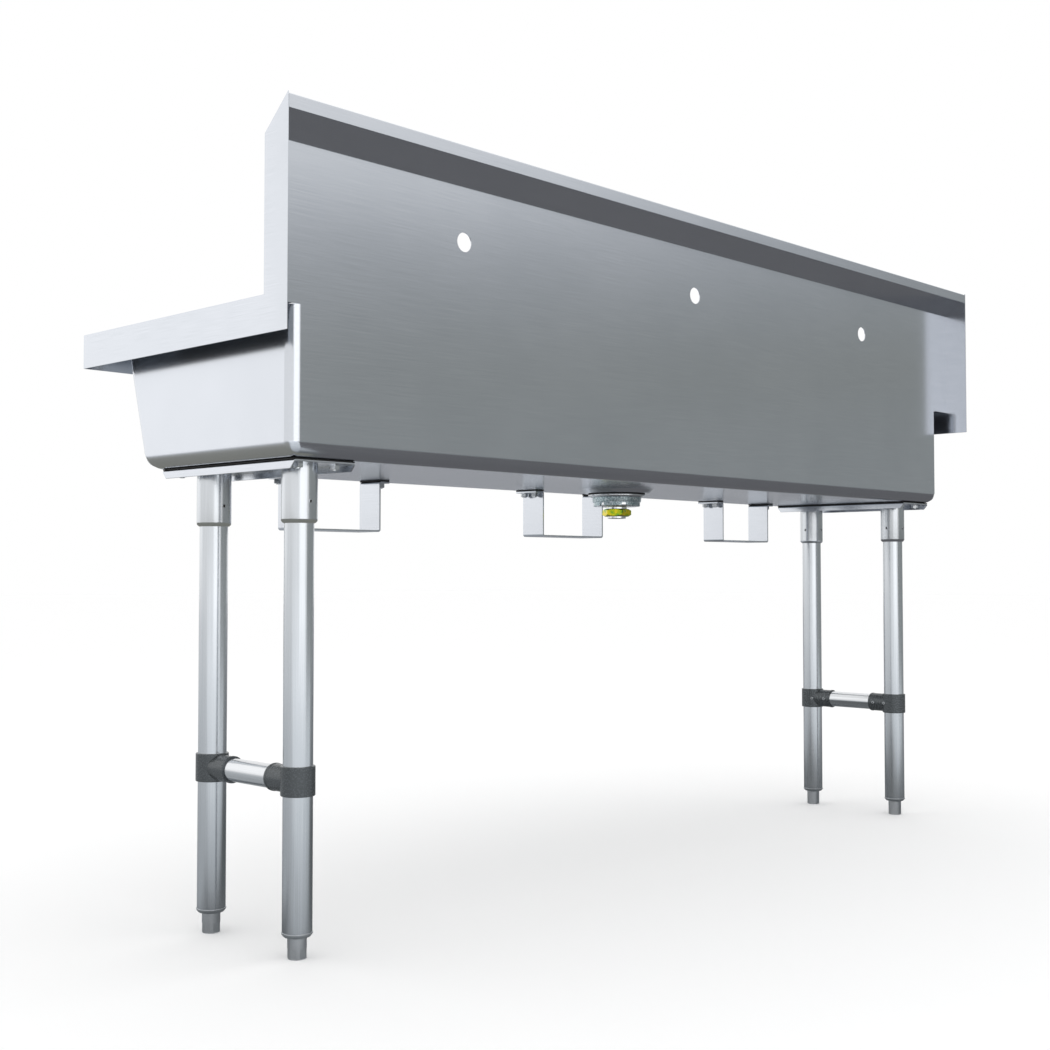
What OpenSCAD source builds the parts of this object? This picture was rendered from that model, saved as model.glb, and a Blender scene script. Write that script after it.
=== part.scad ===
// Free-standing three-station wash sink in stainless sheet, 72 by 20 inches.
// Millimetres, +Z up, floor at zero, origin below the middle of the sink.
// +X is the right-hand end for a person who stands in front of the sink, and +Y is the wall side.

/* [Overall] */
// Length from end cap to end cap
overall_length = 1828.8; // [1680:0.1:2400]
// Depth from the front apron to the rear edge
overall_depth = 508; // [460:1:620]
// Height of the deck above the floor
deck_height = 881.8; // [780:0.1:960]
// Height of the backsplash above the deck
splash_height = 254; // [180:1:320]
// Thickness of the stainless sheet
sheet = 1.5; // [1.2:0.1:2]

/* [Bowl] */
// Depth of the bowl outside, from the deck top to its underside
bowl_depth = 206.3; // [160:0.1:260]
// Width of the flat ledge at each end
end_ledge = 43.6; // [36:0.1:80]
// Width of the flat ledge along the front
front_ledge = 38; // [30:1:60]
// Lean of the front wall from upright, in degrees
front_lean = 16.3; // [8:0.1:22]
// Outer radius of the bends under the rear and the ends
bend_radius = 21.5; // [12:1:30]
// Outer radius of the bend under the front wall
front_bend_radius = 34; // [16:1:44]
// Outer radius of the upright corners
corner_radius = 16; // [8:1:24]
// Depth of the apron round the ledges
apron_depth = 50.8; // [40:0.1:70]

/* [Backsplash] */
// Distance from the panel's front face to the rear edge
splash_setback = 49.8; // [40:0.1:60]
// Rise of the sloped top
slope_rise = 44.6; // [30:0.1:55]
// Drop of the hem along the rear edge
rear_hem = 20.9; // [14:0.1:30]
// Length at each end that the stations leave over
station_margin = 76.2; // [0:0.1:150]
// Radius of each tap hole
tap_hole_r = 14.3; // [10:0.1:18]
// Height of the tap holes above the deck
tap_height = 127; // [90:1:150]

/* [Drain] */
// Depth of the dish that is pressed round the drain
dish_depth = 7.5; // [4:0.1:10]
// Outer radius of the flat of the dish
dish_r = 60; // [58:1:70]
// Width of the dish's sloping side
dish_slope = 7; // [4:1:12]
// Radius of the strainer body outside its thread
strainer_r = 39; // [34:0.5:41]
// Wall of the strainer body
strainer_wall = 2; // [1.5:0.1:3]
// Radius of the strainer flange in the bowl
strainer_flange_r = 56; // [52:0.5:57]
// Depth of the strainer body below the bowl
strainer_depth = 24; // [20:0.5:34]
// Radius of the outlet spigot
spigot_r = 18.5; // [17:0.1:20]
// Length of the outlet spigot
spigot_length = 13; // [10:0.5:20]
// Radius of the rubber gasket and the washer
gasket_r = 52; // [48:0.5:56]
// Thickness of the rubber gasket
gasket_t = 2.2; // [1.5:0.1:4]
// Thickness of the friction washer, with its stiffening rings
washer_t = 4.6; // [1:0.1:6]
// Radius of the locknut
locknut_r = 45.2; // [43.5:0.1:50]
// Height of the locknut's toothed rim
locknut_rim_h = 9; // [6:0.5:14]
// Height of the locknut's lugs
locknut_lug_h = 7.5; // [5:0.5:10]
// Radius round the locknut's lugs
locknut_lug_r = 42.3; // [41.5:0.1:44]
// Number of lugs on the locknut
locknut_lugs = 6; // [4:1:8]
// Radius across the corners of the coupling nut
coupling_r = 26.8; // [24:0.1:30]
// Height of the coupling nut
coupling_h = 14; // [10:0.5:20]
// Outer radius of the tail tube
tail_r = 16.9; // [14:0.1:17]
// Length of the tail tube below the coupling nut
tail_show = 3.6; // [2:0.1:40]

/* [Basket] */
// Outer radius of the strainer basket's cup
basket_r = 34; // [28:0.5:36]
// Depth of the basket's cup
basket_depth = 15; // [10:0.5:18]
// Thickness of the basket's metal
basket_t = 0.8; // [0.6:0.1:1.2]
// Radius of the basket's knob
knob_r = 9; // [6:0.5:12]
// Radius of the holes in the basket
basket_hole_r = 2; // [1.5:0.1:2.5]

/* [Legs] */
// Outer radius of the leg tube, for a tube of 1 5/8 inches
leg_r = 20.64; // [16:0.01:24]
// Wall of the leg tube and the brace tube
tube_wall = 1.5; // [1.2:0.1:2.5]
// Height of the leg sockets
socket_h = 80.5; // [60:0.5:110]
// Outer radius of the leg sockets
socket_r = 25.2; // [24:0.1:28]
// Distance of a channel's front end behind the foot of the bowl's front wall
channel_front_gap = 28; // [12:0.1:36]
// Distance of a channel's rear end in front of the bowl's rear wall
channel_rear_gap = 15.4; // [2:0.1:24]
// Distance of a channel's outer flange from the end of the bowl
channel_end_gap = 16.2; // [4:0.1:30]
// Distance of the leg axes from the ends of their channel
leg_end = 56.2; // [40:0.1:80]
// Width of the channel
channel_width = 104; // [90:1:110]
// Depth of the channel's flanges
channel_depth = 12; // [8:0.5:20]
// Thickness of the channel's metal
channel_t = 2.5; // [2:0.1:3.5]
// Length by which the ends of the channel's flanges slant
channel_slant = 8; // [0:0.5:15]
// Thickness of the black sealing strips and pads
pad_t = 2; // [1:0.1:3]

/* [Braces] */
// Height of the brace tubes above the floor
brace_height = 240; // [150:0.5:400]
// Outer radius of the brace tubes, for a tube of 1 5/16 inches
brace_r = 16.67; // [12:0.01:17]
// Outer radius of a clamp round the leg
clamp_r = 23.85; // [22.5:0.05:27]
// Height of a clamp
clamp_h = 40.5; // [38:0.5:50]
// Outer radius of a clamp round the brace tube
clamp_arm_r = 18.9; // [18.2:0.1:20]
// Reach of a clamp's arm from the leg axis
clamp_reach = 53; // [45:0.5:60]

/* [Feet] */
// Outer radius of the foot bushing's rim
bushing_r = 21.5; // [20.7:0.1:25]
// Height of the bushing's rim
bushing_rim_h = 6.5; // [5:0.5:10]
// Height of the bushing inside the leg
bushing_plug_h = 28; // [20:1:40]
// Radius of the bullet foot
foot_r = 13.2; // [11:0.1:15]
// Height of the bullet foot when it is screwed right in
foot_h = 29.2; // [24:0.1:40]
// Radius of the foot's thread
thread_r = 6.35; // [5:0.05:8]
// Length of the foot's thread
thread_length = 46; // [40:1:60]
// Height of the wrench flats on the foot
flats_h = 14.5; // [8:0.5:18]
// Width across the wrench flats
flats_width = 25; // [18:0.1:26]

/* [Knee brackets] */
// Width of a bracket over its legs
bracket_width = 169; // [120:1:200]
// Drop of a bracket below the bowl
bracket_drop = 85.4; // [60:0.1:120]
// Width of the bracket's strap
strap_width = 50.8; // [30:0.1:60]
// Thickness of the bracket's strap
strap_t = 3; // [2:0.1:5]
// Length of each of the bracket's feet beyond its leg
strap_foot = 19; // [16:0.5:26]
// Distance of the bracket's middle behind the foot of the bowl's front wall
bracket_setback = 49.1; // [45:0.1:90]

/* [Fasteners] */
// Radius of the welded studs
stud_r = 3.97; // [3:0.01:5]
// Distance between the two studs of a bracket foot
stud_pair = 25.4; // [20:0.1:32]
// Width across the flats of the nuts
nut_width = 12.7; // [10:0.1:16]
// Thickness of the nuts
nut_t = 6.8; // [4:0.1:8]
// Length of stud that shows under a nut
stud_show = 1.5; // [0.5:0.1:4]
// Distance between the two stud rows of a channel
channel_stud_x = 62; // [56:1:70]
// Distance of a channel's end studs from its ends
channel_stud_end = 19; // [14:1:40]
// Radius of the set screws
set_screw_r = 3; // [2:0.1:4]
// Height of a set screw's end above the surface
set_screw_show = 0.8; // [0:0.1:2]
// Height of the socket screws above the socket's rim
socket_screw_z = 29.8; // [15:0.1:45]

/* [Hidden] */
// Names of every sub-part, in the order in which they are listed below
$fn = 72;

// Number of stations, each with a tap hole and a knee bracket
stations = 3;
// Distance between stations
station_spacing = (overall_length - 2 * station_margin) / stations;
// Straight pieces in a quarter round of an outline
round_steps = 6;
// Overrun of every cut past the face that it leaves through
cut = 1;
// Gap between pieces that move apart, and between a seat and what sits in it
running_gap = 0.3;
// Radial clearance between a tube and the collar that it is pushed into
push_gap = 0.15;

// Thickness of the strainer flange, of the tail tube's flange and of the washer on it
strainer_flange_t = 2;
tail_flange_t = 1.5;
coupling_washer_t = 1.5;
// Wall of the tail tube and of the spigot
tail_wall = 1.5;
spigot_wall = 2.5;
// Chamfer of the coupling nut as a share of its height
coupling_chamfer_share = 0.14;
// Width of the gap between two lugs of the locknut as a share of their pitch
lug_gap_share = 0.24;
// Web of the locknut above the gaps between its lugs
lug_web = 2;

half_length = overall_length / 2;
half_depth = overall_depth / 2;
top_z = deck_height + splash_height;
deck_under = deck_height - sheet;
bowl_under = deck_height - bowl_depth;
bowl_half = half_length - end_ledge;
panel_front = half_depth - splash_setback;
panel_back = panel_front + sheet;
bowl_front = -half_depth + front_ledge;
slope_z = top_z - slope_rise;
slope_ratio = slope_rise / splash_setback;
slope_stretch = sqrt(1 + slope_ratio * slope_ratio);

// Foot of the front wall and middle of the bowl's floor, were the floor's bends sharp
floor_front = bowl_front + bowl_depth * tan(front_lean);
drain_y = (floor_front + panel_back) / 2;
bracket_y = floor_front + bracket_setback;

channel_front = floor_front + channel_front_gap;
channel_rear = panel_back - channel_rear_gap;
channel_length = channel_rear - channel_front;
channel_y = (channel_rear + channel_front) / 2;
leg_x = bowl_half - channel_end_gap - channel_width / 2;
leg_front_y = channel_front + leg_end;
leg_rear_y = channel_rear - leg_end;
channel_top = bowl_under - pad_t;
channel_under = channel_top - channel_t;
socket_z = channel_under - socket_h;
leg_bottom = foot_h + running_gap + bushing_rim_h;
socket_lip = socket_r - leg_r - push_gap;
leg_top = channel_under - socket_lip;

dish_under = bowl_under - dish_depth;
dish_floor = dish_under + sheet;
strainer_hole_r = strainer_r + running_gap;
gasket_z = dish_under - gasket_t;
washer_z = gasket_z - washer_t;
locknut_z = washer_z - locknut_rim_h;
strainer_under = dish_under - strainer_depth;
spigot_under = strainer_under - spigot_length;
coupling_top = spigot_under + coupling_h - strainer_wall - tail_flange_t - coupling_washer_t;
coupling_under = coupling_top - coupling_h;
tail_under = coupling_under - tail_show;
// Height at which the basket's lip rests, just above the strainer flange
basket_z = dish_floor + strainer_flange_t + running_gap;
basket_lip_r = strainer_r + strainer_wall;

// Shares of the basket's depth and radius
basket_lip_share = 0.16;
knob_neck_share = 0.42;
knob_height_share = 1.3;
// Circles of holes in the basket's floor, as shares of its radius, with the holes in each
basket_ring_shares = [0.42, 0.6, 0.78];
basket_ring_counts = [8, 12, 16];
// Thickness of the rubber stopper and its radius as a share of the basket's
stopper_t = 3;
stopper_share = 0.8;

bracket_top = bowl_under - pad_t;
bracket_under = bowl_under - bracket_drop;
bracket_foot_x = (bracket_width + strap_foot) / 2;
bracket_foot_reach = strap_foot + strap_t;
nut_r = nut_width / sqrt(3);
channel_stud_y = channel_length / 2 - channel_stud_end;
// Share of the screw's radius that its hexagon socket takes, and the socket's depth share
hex_share = 0.5;
hex_depth_share = 0.8;
// Distance of a clamp's two screws from the leg axis, as shares of the clamp's reach
clamp_screw_shares = [0.23, 0.77];
// Share of a clamp's reach at which the brace tube ends
brace_end_share = 0.5;
// Rounding of a socket's lower rim and of a bushing's rim, as shares of their heights
socket_round_share = 0.075;
// Chamfer at the tip of a foot
foot_chamfer = 1.6;
// Bead round a clamp's arm, where the tube enters it
clamp_bead = 1.2;
// Flat part of the bushing's nose as a share of its rim's width, and its rounding's share of the rim's height
bushing_nose_share = 0.3;
bushing_round_share = 0.8;

steel = "#c3c8cf";
zinc = "#9fb4b8";
black = "#141414";
charcoal = "#4b4e50";
yellow_zinc = "#a8a01c";

// A ring about Z, from its lower face up
module ring(outer_r, inner_r, height) {
  difference() {
    cylinder(r = outer_r, h = height);
    translate([0, 0, -cut]) cylinder(r = inner_r, h = height + 2 * cut);
  }
}

// Stands its children at one leg: side is 1 for the right-hand end and -1 for the left
module at_leg(side, depth_place) {
  translate([side * leg_x, depth_place, 0]) children();
}

// Upright section of the bowl from front to rear, drawn in by an inset
module bowl_section(inset, top) {
  lean_shift = tan(front_lean);
  rear_centre = [panel_back - bend_radius, bowl_under + bend_radius];
  front_centre = [
    bowl_front + (bowl_depth - front_bend_radius) * lean_shift + front_bend_radius / cos(front_lean),
    bowl_under + front_bend_radius
  ];
  front_r = front_bend_radius - inset;
  front_top = bowl_front + inset / cos(front_lean) - (top - deck_height) * lean_shift;
  polygon([
    [panel_back - inset, top],
    [front_top, top],
    front_centre - front_r * [cos(front_lean), sin(front_lean)],
    [front_centre[0], bowl_under + inset],
    [rear_centre[0], bowl_under + inset],
    [panel_back - inset, rear_centre[1]]
  ]);
  translate(front_centre) circle(r = front_r);
  translate(rear_centre) circle(r = bend_radius - inset);
}

// Section of the bowl from end to end, with the bends under both ends
module bowl_end_section(inset, top) {
  half = bowl_half - inset;
  polygon([
    [half, top], [-half, top],
    [-half, bowl_under + bend_radius], [-bowl_half + bend_radius, bowl_under + inset],
    [bowl_half - bend_radius, bowl_under + inset], [half, bowl_under + bend_radius]
  ]);
  for (side = [-1, 1])
    translate([side * (bowl_half - bend_radius), bowl_under + bend_radius]) circle(r = bend_radius - inset);
}

// Plan with two rounded corners on the side at zero, running back by a reach
module bowl_corner_plan(inset, reach) {
  half = bowl_half - inset;
  difference() {
    translate([-half, inset]) square([2 * half, reach]);
    for (side = [-1, 1])
      translate([side * (bowl_half - corner_radius), corner_radius])
        difference() {
          translate([side < 0 ? -corner_radius - cut : 0, -corner_radius - cut])
            square(corner_radius + cut);
          circle(r = corner_radius - inset);
        }
  }
}

// Whole bowl as a solid, drawn in by an inset, up to a given top
module bowl_solid(inset, top) {
  tall = top - bowl_under;
  intersection() {
    rotate([90, 0, 90])
      translate([0, 0, -half_length]) linear_extrude(overall_length) bowl_section(inset, top);
    translate([0, half_depth, 0])
      rotate([90, 0, 0]) linear_extrude(overall_depth) bowl_end_section(inset, top);
    translate([0, panel_back, bowl_under - cut])
      mirror([0, 1, 0]) linear_extrude(tall + 2 * cut) bowl_corner_plan(inset, overall_depth);
    translate([0, bowl_front, deck_height])
      rotate([front_lean, 0, 0])
        translate([0, 0, -2 * bowl_depth])
          linear_extrude(3 * bowl_depth) bowl_corner_plan(inset, 2 * overall_depth);
  }
}

// Cone round the drain that widens from a floor radius, twice as tall as the dish is deep
module dish_cone(floor_r, floor_z) {
  translate([0, drain_y, floor_z])
    rotate_extrude()
      polygon([[0, 0], [floor_r, 0], [floor_r + 2 * dish_slope, 2 * dish_depth], [0, 2 * dish_depth]]);
}

module basin() {
  color(steel)
    difference() {
      union() {
        bowl_solid(0, deck_under);
        dish_cone(dish_r, dish_under);
      }
      bowl_solid(sheet, deck_height + cut);
      dish_cone(dish_r - sheet, dish_floor);
      translate([0, drain_y, dish_under - cut]) cylinder(r = strainer_hole_r, h = sheet + 2 * cut);
    }
}

module deck_rim() {
  inner_half = half_length - sheet;
  color(steel) {
    difference() {
      translate([-inner_half, -half_depth, deck_under])
        cube([2 * inner_half, half_depth + panel_front, sheet]);
      bowl_solid(sheet, deck_height + cut);
    }
    translate([-inner_half, -half_depth, deck_height - apron_depth])
      cube([2 * inner_half, sheet, apron_depth - sheet]);
  }
}

// Bent sheet of the backsplash: upright panel, sloped top and rear hem
module splash_section() {
  inner_drop = sheet * slope_stretch;
  polygon([
    [panel_front, deck_under], [panel_front, slope_z], [half_depth, top_z],
    [half_depth, top_z - rear_hem], [half_depth - sheet, top_z - rear_hem],
    [half_depth - sheet, top_z - sheet * slope_ratio - inner_drop],
    [panel_back, slope_z + sheet * slope_ratio - inner_drop], [panel_back, deck_under]
  ]);
}

module backsplash() {
  inner_half = half_length - sheet;
  first = -(stations - 1) / 2;
  color(steel)
    difference() {
      rotate([90, 0, 90])
        translate([0, 0, -inner_half]) linear_extrude(2 * inner_half) splash_section();
      for (i = [0 : stations - 1])
        translate([(first + i) * station_spacing, panel_front - cut, deck_height + tap_height])
          rotate([-90, 0, 0]) cylinder(r = tap_hole_r, h = sheet + 2 * cut);
    }
}

// Flat plate that closes one end of the rim and the backsplash
module end_cap(side) {
  outer = side * half_length;
  color(steel)
    translate([side < 0 ? outer : outer - sheet, 0, 0])
      rotate([90, 0, 90])
        linear_extrude(sheet)
          polygon([
            [-half_depth, deck_height - apron_depth], [half_depth, deck_height - apron_depth],
            [half_depth, top_z], [panel_front, slope_z],
            [panel_front, deck_height], [-half_depth, deck_height]
          ]);
}

module end_cap_right() { end_cap(1); }
module end_cap_left() { end_cap(-1); }

module strainer_body() {
  inner_r = strainer_r - strainer_wall;
  floor_z = strainer_under + strainer_wall;
  color(steel)
    translate([0, drain_y, 0])
      rotate_extrude()
        polygon([
          [strainer_r, dish_floor], [strainer_flange_r, dish_floor],
          [strainer_flange_r, dish_floor + strainer_flange_t / 2],
          [strainer_flange_r - strainer_flange_t / 2, dish_floor + strainer_flange_t],
          [inner_r, dish_floor + strainer_flange_t],
          [inner_r, floor_z], [spigot_r - spigot_wall, floor_z],
          [spigot_r - spigot_wall, spigot_under], [spigot_r, spigot_under],
          [spigot_r, strainer_under], [strainer_r, strainer_under]
        ]);
}

module drain_gasket() {
  color(black)
    translate([0, drain_y, gasket_z]) ring(gasket_r, strainer_r + push_gap, gasket_t);
}

module friction_washer() {
  color(zinc)
    translate([0, drain_y, washer_z]) ring(gasket_r, strainer_r + push_gap, washer_t);
}

module drain_locknut() {
  lug_bottom = locknut_z - locknut_lug_h;
  gap_width = 2 * PI * locknut_lug_r * lug_gap_share / locknut_lugs;
  bore_r = strainer_r + push_gap;
  color(zinc)
    translate([0, drain_y, 0]) {
      translate([0, 0, locknut_z]) ring(locknut_r, bore_r, locknut_rim_h);
      difference() {
        translate([0, 0, lug_bottom]) ring(locknut_lug_r, bore_r, locknut_lug_h);
        for (i = [0 : locknut_lugs - 1])
          rotate([0, 0, i * 360 / locknut_lugs])
            translate([0, -gap_width / 2, lug_bottom - cut])
              cube([locknut_r + cut, gap_width, locknut_lug_h + cut - lug_web]);
      }
    }
}

module coupling_washer() {
  color(black)
    translate([0, drain_y, spigot_under - coupling_washer_t])
      ring(spigot_r, spigot_r - spigot_wall, coupling_washer_t);
}

module tailpiece() {
  flange_z = spigot_under - coupling_washer_t - tail_flange_t;
  color(steel)
    translate([0, drain_y, 0])
      rotate_extrude()
        polygon([
          [tail_r - tail_wall, tail_under], [tail_r, tail_under], [tail_r, flange_z],
          [spigot_r, flange_z], [spigot_r, flange_z + tail_flange_t],
          [tail_r - tail_wall, flange_z + tail_flange_t]
        ]);
}

module coupling_nut() {
  lip_z = spigot_under - coupling_washer_t - tail_flange_t;
  edge = coupling_h * coupling_chamfer_share;
  color(yellow_zinc)
    translate([0, drain_y, 0])
      difference() {
        intersection() {
          translate([0, 0, coupling_under]) cylinder(r = coupling_r, h = coupling_h, $fn = 6);
          rotate_extrude()
            polygon([
              [0, coupling_under], [coupling_r - edge, coupling_under],
              [coupling_r, coupling_under + edge], [coupling_r, coupling_top - edge],
              [coupling_r - edge, coupling_top], [0, coupling_top]
            ]);
        }
        translate([0, 0, lip_z]) cylinder(r = spigot_r + push_gap, h = coupling_h);
        translate([0, 0, coupling_under - cut]) cylinder(r = tail_r + push_gap, h = coupling_h);
      }
}

module basket_cup() {
  floor_z = basket_z - basket_depth;
  color(steel)
    translate([0, drain_y, 0])
      difference() {
        rotate_extrude()
          polygon([
            [0, floor_z], [basket_r - basket_t, floor_z], [basket_r, floor_z + basket_t],
            [basket_r, basket_z], [basket_lip_r, basket_z], [basket_lip_r, basket_z + basket_t],
            [basket_r - basket_t, basket_z + basket_t],
            [basket_r - basket_t, floor_z + basket_t], [0, floor_z + basket_t]
          ]);
        for (j = [0 : len(basket_ring_shares) - 1])
          for (i = [0 : basket_ring_counts[j] - 1])
            rotate([0, 0, i * 360 / basket_ring_counts[j]])
              translate([basket_r * basket_ring_shares[j], 0, floor_z - cut])
                cylinder(r = basket_hole_r, h = basket_t + 2 * cut, $fn = 16);
      }
}

module basket_knob() {
  floor_z = basket_z - basket_depth + basket_t;
  neck_r = knob_r * knob_neck_share;
  tall = knob_r * knob_height_share;
  color(steel)
    translate([0, drain_y, floor_z])
      rotate_extrude()
        polygon([
          [0, 0], [knob_r, 0], [neck_r, neck_r], [neck_r, tall],
          [knob_r, tall + neck_r], [knob_r, tall + 2 * neck_r],
          [neck_r, tall + 2 * neck_r + neck_r / 2], [0, tall + 2 * neck_r + neck_r / 2]
        ]);
}

module basket_stopper() {
  color(black)
    translate([0, drain_y, basket_z - basket_depth - stopper_t])
      cylinder(r = (spigot_r + basket_r) / 2 * stopper_share, h = stopper_t);
}

// Upturned channel under one end of the bowl, with slanted flange ends and stud holes
module leg_channel(side) {
  color(steel)
    translate([side * leg_x, channel_y, 0])
      difference() {
        union() {
          translate([-channel_width / 2, -channel_length / 2, channel_under])
            cube([channel_width, channel_length, channel_t]);
          for (edge = [-channel_width / 2, channel_width / 2 - channel_t])
            translate([edge, 0, 0])
              rotate([90, 0, 90])
                linear_extrude(channel_t)
                  polygon([
                    [-channel_length / 2, channel_under],
                    [-channel_length / 2 + channel_slant, channel_top - channel_depth],
                    [channel_length / 2 - channel_slant, channel_top - channel_depth],
                    [channel_length / 2, channel_under]
                  ]);
        }
        for (place = channel_stud_places())
          translate([place[0], place[1], channel_under - cut])
            cylinder(r = stud_r + push_gap, h = channel_t + 2 * cut, $fn = 32);
      }
}

// Places of a channel's studs about its middle
function channel_stud_places() = [
  for (sx = [-1, 1]) for (sy = [-1, 1]) [sx * channel_stud_x / 2, sy * channel_stud_y]
];

module leg_channel_right() { leg_channel(1); }
module leg_channel_left() { leg_channel(-1); }

module channel_seal(side) {
  color(black)
    difference() {
      translate([side * leg_x - channel_width / 2, channel_y - channel_length / 2, channel_top])
        cube([channel_width, channel_length, pad_t]);
      for (place = channel_stud_places())
        translate([side * leg_x + place[0], channel_y + place[1], channel_top - cut])
          cylinder(r = stud_r + push_gap, h = pad_t + 2 * cut, $fn = 32);
    }
}

module channel_seal_right() { channel_seal(1); }
module channel_seal_left() { channel_seal(-1); }

// Cup that is welded under a channel and takes the top of a leg
module leg_socket(side, place) {
  bore_r = leg_r + push_gap;
  edge = socket_h * socket_round_share;
  // The rounding stops where it meets the bore
  round_end = acos(max(0, (bore_r - socket_r + edge) / edge));
  color(steel)
    at_leg(side, place)
      difference() {
        rotate_extrude()
          polygon(concat(
            [[0, leg_top], [0, channel_under], [socket_r, channel_under]],
            [for (i = [0 : round_steps]) [
              socket_r - edge * (1 - cos(i * round_end / round_steps)),
              socket_z + edge * (1 - sin(i * round_end / round_steps))
            ]],
            [[bore_r, socket_z + edge * (1 - sin(round_end))], [bore_r, leg_top]]
          ));
        translate([0, 0, socket_z + socket_screw_z]) {
          rotate([-90, 0, 0]) cylinder(r = set_screw_r + push_gap, h = socket_r + cut, $fn = 32);
          rotate([0, -90 * side, 0]) cylinder(r = set_screw_r + push_gap, h = socket_r + cut, $fn = 32);
        }
      }
}

module leg_socket_right_rear() { leg_socket(1, leg_rear_y); }
module leg_socket_right_front() { leg_socket(1, leg_front_y); }
module leg_socket_left_rear() { leg_socket(-1, leg_rear_y); }
module leg_socket_left_front() { leg_socket(-1, leg_front_y); }

module leg(side, place) {
  color(steel)
    at_leg(side, place)
      translate([0, 0, leg_bottom]) ring(leg_r, leg_r - tube_wall, leg_top - leg_bottom);
}

module leg_right_rear() { leg(1, leg_rear_y); }
module leg_right_front() { leg(1, leg_front_y); }
module leg_left_rear() { leg(-1, leg_rear_y); }
module leg_left_front() { leg(-1, leg_front_y); }

// Plug with a rounded rim in the foot of a leg, bored for the foot's thread
module foot_bushing(side, place) {
  plug_r = leg_r - tube_wall - push_gap;
  low = foot_h + running_gap;
  nose_r = foot_r + (bushing_r - foot_r) * bushing_nose_share;
  color(steel)
    at_leg(side, place)
      difference() {
        rotate_extrude()
          polygon(concat(
            [[0, low], [nose_r, low]],
            [for (i = [0 : round_steps]) [
              nose_r + (bushing_r - nose_r) * sin(i * 90 / round_steps),
              low + bushing_rim_h * bushing_round_share * (1 - cos(i * 90 / round_steps))
            ]],
            [[bushing_r, leg_bottom], [plug_r, leg_bottom], [plug_r, leg_bottom + bushing_plug_h],
             [0, leg_bottom + bushing_plug_h]]
          ));
        translate([0, 0, low - cut])
          cylinder(r = thread_r + running_gap, h = bushing_rim_h + bushing_plug_h + 2 * cut);
      }
}

module foot_bushing_right_rear() { foot_bushing(1, leg_rear_y); }
module foot_bushing_right_front() { foot_bushing(1, leg_front_y); }
module foot_bushing_left_rear() { foot_bushing(-1, leg_rear_y); }
module foot_bushing_left_front() { foot_bushing(-1, leg_front_y); }

// Bullet foot with wrench flats below and a thread above
module foot(side, place) {
  color(steel)
    at_leg(side, place) {
      intersection() {
        cylinder(r = flats_width / sqrt(3), h = flats_h + foot_chamfer, $fn = 6);
        rotate_extrude()
          polygon([
            [0, 0], [foot_r - foot_chamfer, 0], [foot_r, foot_chamfer],
            [foot_r, flats_h + foot_chamfer], [0, flats_h + foot_chamfer]
          ]);
      }
      rotate_extrude()
        polygon([
          [0, flats_h], [foot_r, flats_h], [foot_r, foot_h - foot_chamfer / 2],
          [foot_r - foot_chamfer / 2, foot_h], [thread_r, foot_h],
          [thread_r, foot_h + thread_length], [0, foot_h + thread_length]
        ]);
    }
}

module foot_right_rear() { foot(1, leg_rear_y); }
module foot_right_front() { foot(1, leg_front_y); }
module foot_left_rear() { foot(-1, leg_rear_y); }
module foot_left_front() { foot(-1, leg_front_y); }

// Tee that clamps the end of a brace tube to a leg; toward is 1 when its arm points to the wall
module brace_clamp(side, place, toward) {
  arm = clamp_reach;
  color(charcoal)
    at_leg(side, place)
      translate([0, 0, brace_height])
        difference() {
          union() {
            translate([0, 0, -clamp_h / 2]) cylinder(r = clamp_r, h = clamp_h);
            rotate([-90 * toward, 0, 0]) {
              cylinder(r = clamp_arm_r, h = arm);
              translate([0, 0, arm - clamp_bead]) cylinder(r = clamp_arm_r + clamp_bead / 2, h = clamp_bead);
            }
          }
          translate([0, 0, -clamp_h / 2 - cut]) cylinder(r = leg_r + push_gap, h = clamp_h + 2 * cut);
          rotate([-90 * toward, 0, 0]) cylinder(r = brace_r + push_gap, h = arm + cut);
          for (share = clamp_screw_shares)
            translate([0, toward * arm * share, 0])
              rotate([0, -90 * side, 0])
                cylinder(r = set_screw_r + push_gap, h = clamp_r + cut, $fn = 32);
        }
}

module brace_clamp_right_rear() { brace_clamp(1, leg_rear_y, -1); }
module brace_clamp_right_front() { brace_clamp(1, leg_front_y, 1); }
module brace_clamp_left_rear() { brace_clamp(-1, leg_rear_y, -1); }
module brace_clamp_left_front() { brace_clamp(-1, leg_front_y, 1); }

module brace_tube(side) {
  start = clamp_reach * brace_end_share;
  span = leg_rear_y - leg_front_y - 2 * start;
  color(steel)
    at_leg(side, leg_front_y + start)
      translate([0, 0, brace_height])
        rotate([-90, 0, 0]) ring(brace_r, brace_r - tube_wall, span);
}

module brace_tube_right() { brace_tube(1); }
module brace_tube_left() { brace_tube(-1); }

// Places of the studs of one bracket about its middle
function bracket_stud_places() = [
  for (sx = [-1, 1]) for (sy = [-1, 1]) [sx * bracket_foot_x, sy * stud_pair / 2]
];

// Place of the bracket of one station, counted from the left-hand end
function station_x(i) = (i - (stations - 1) / 2) * station_spacing;

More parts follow.
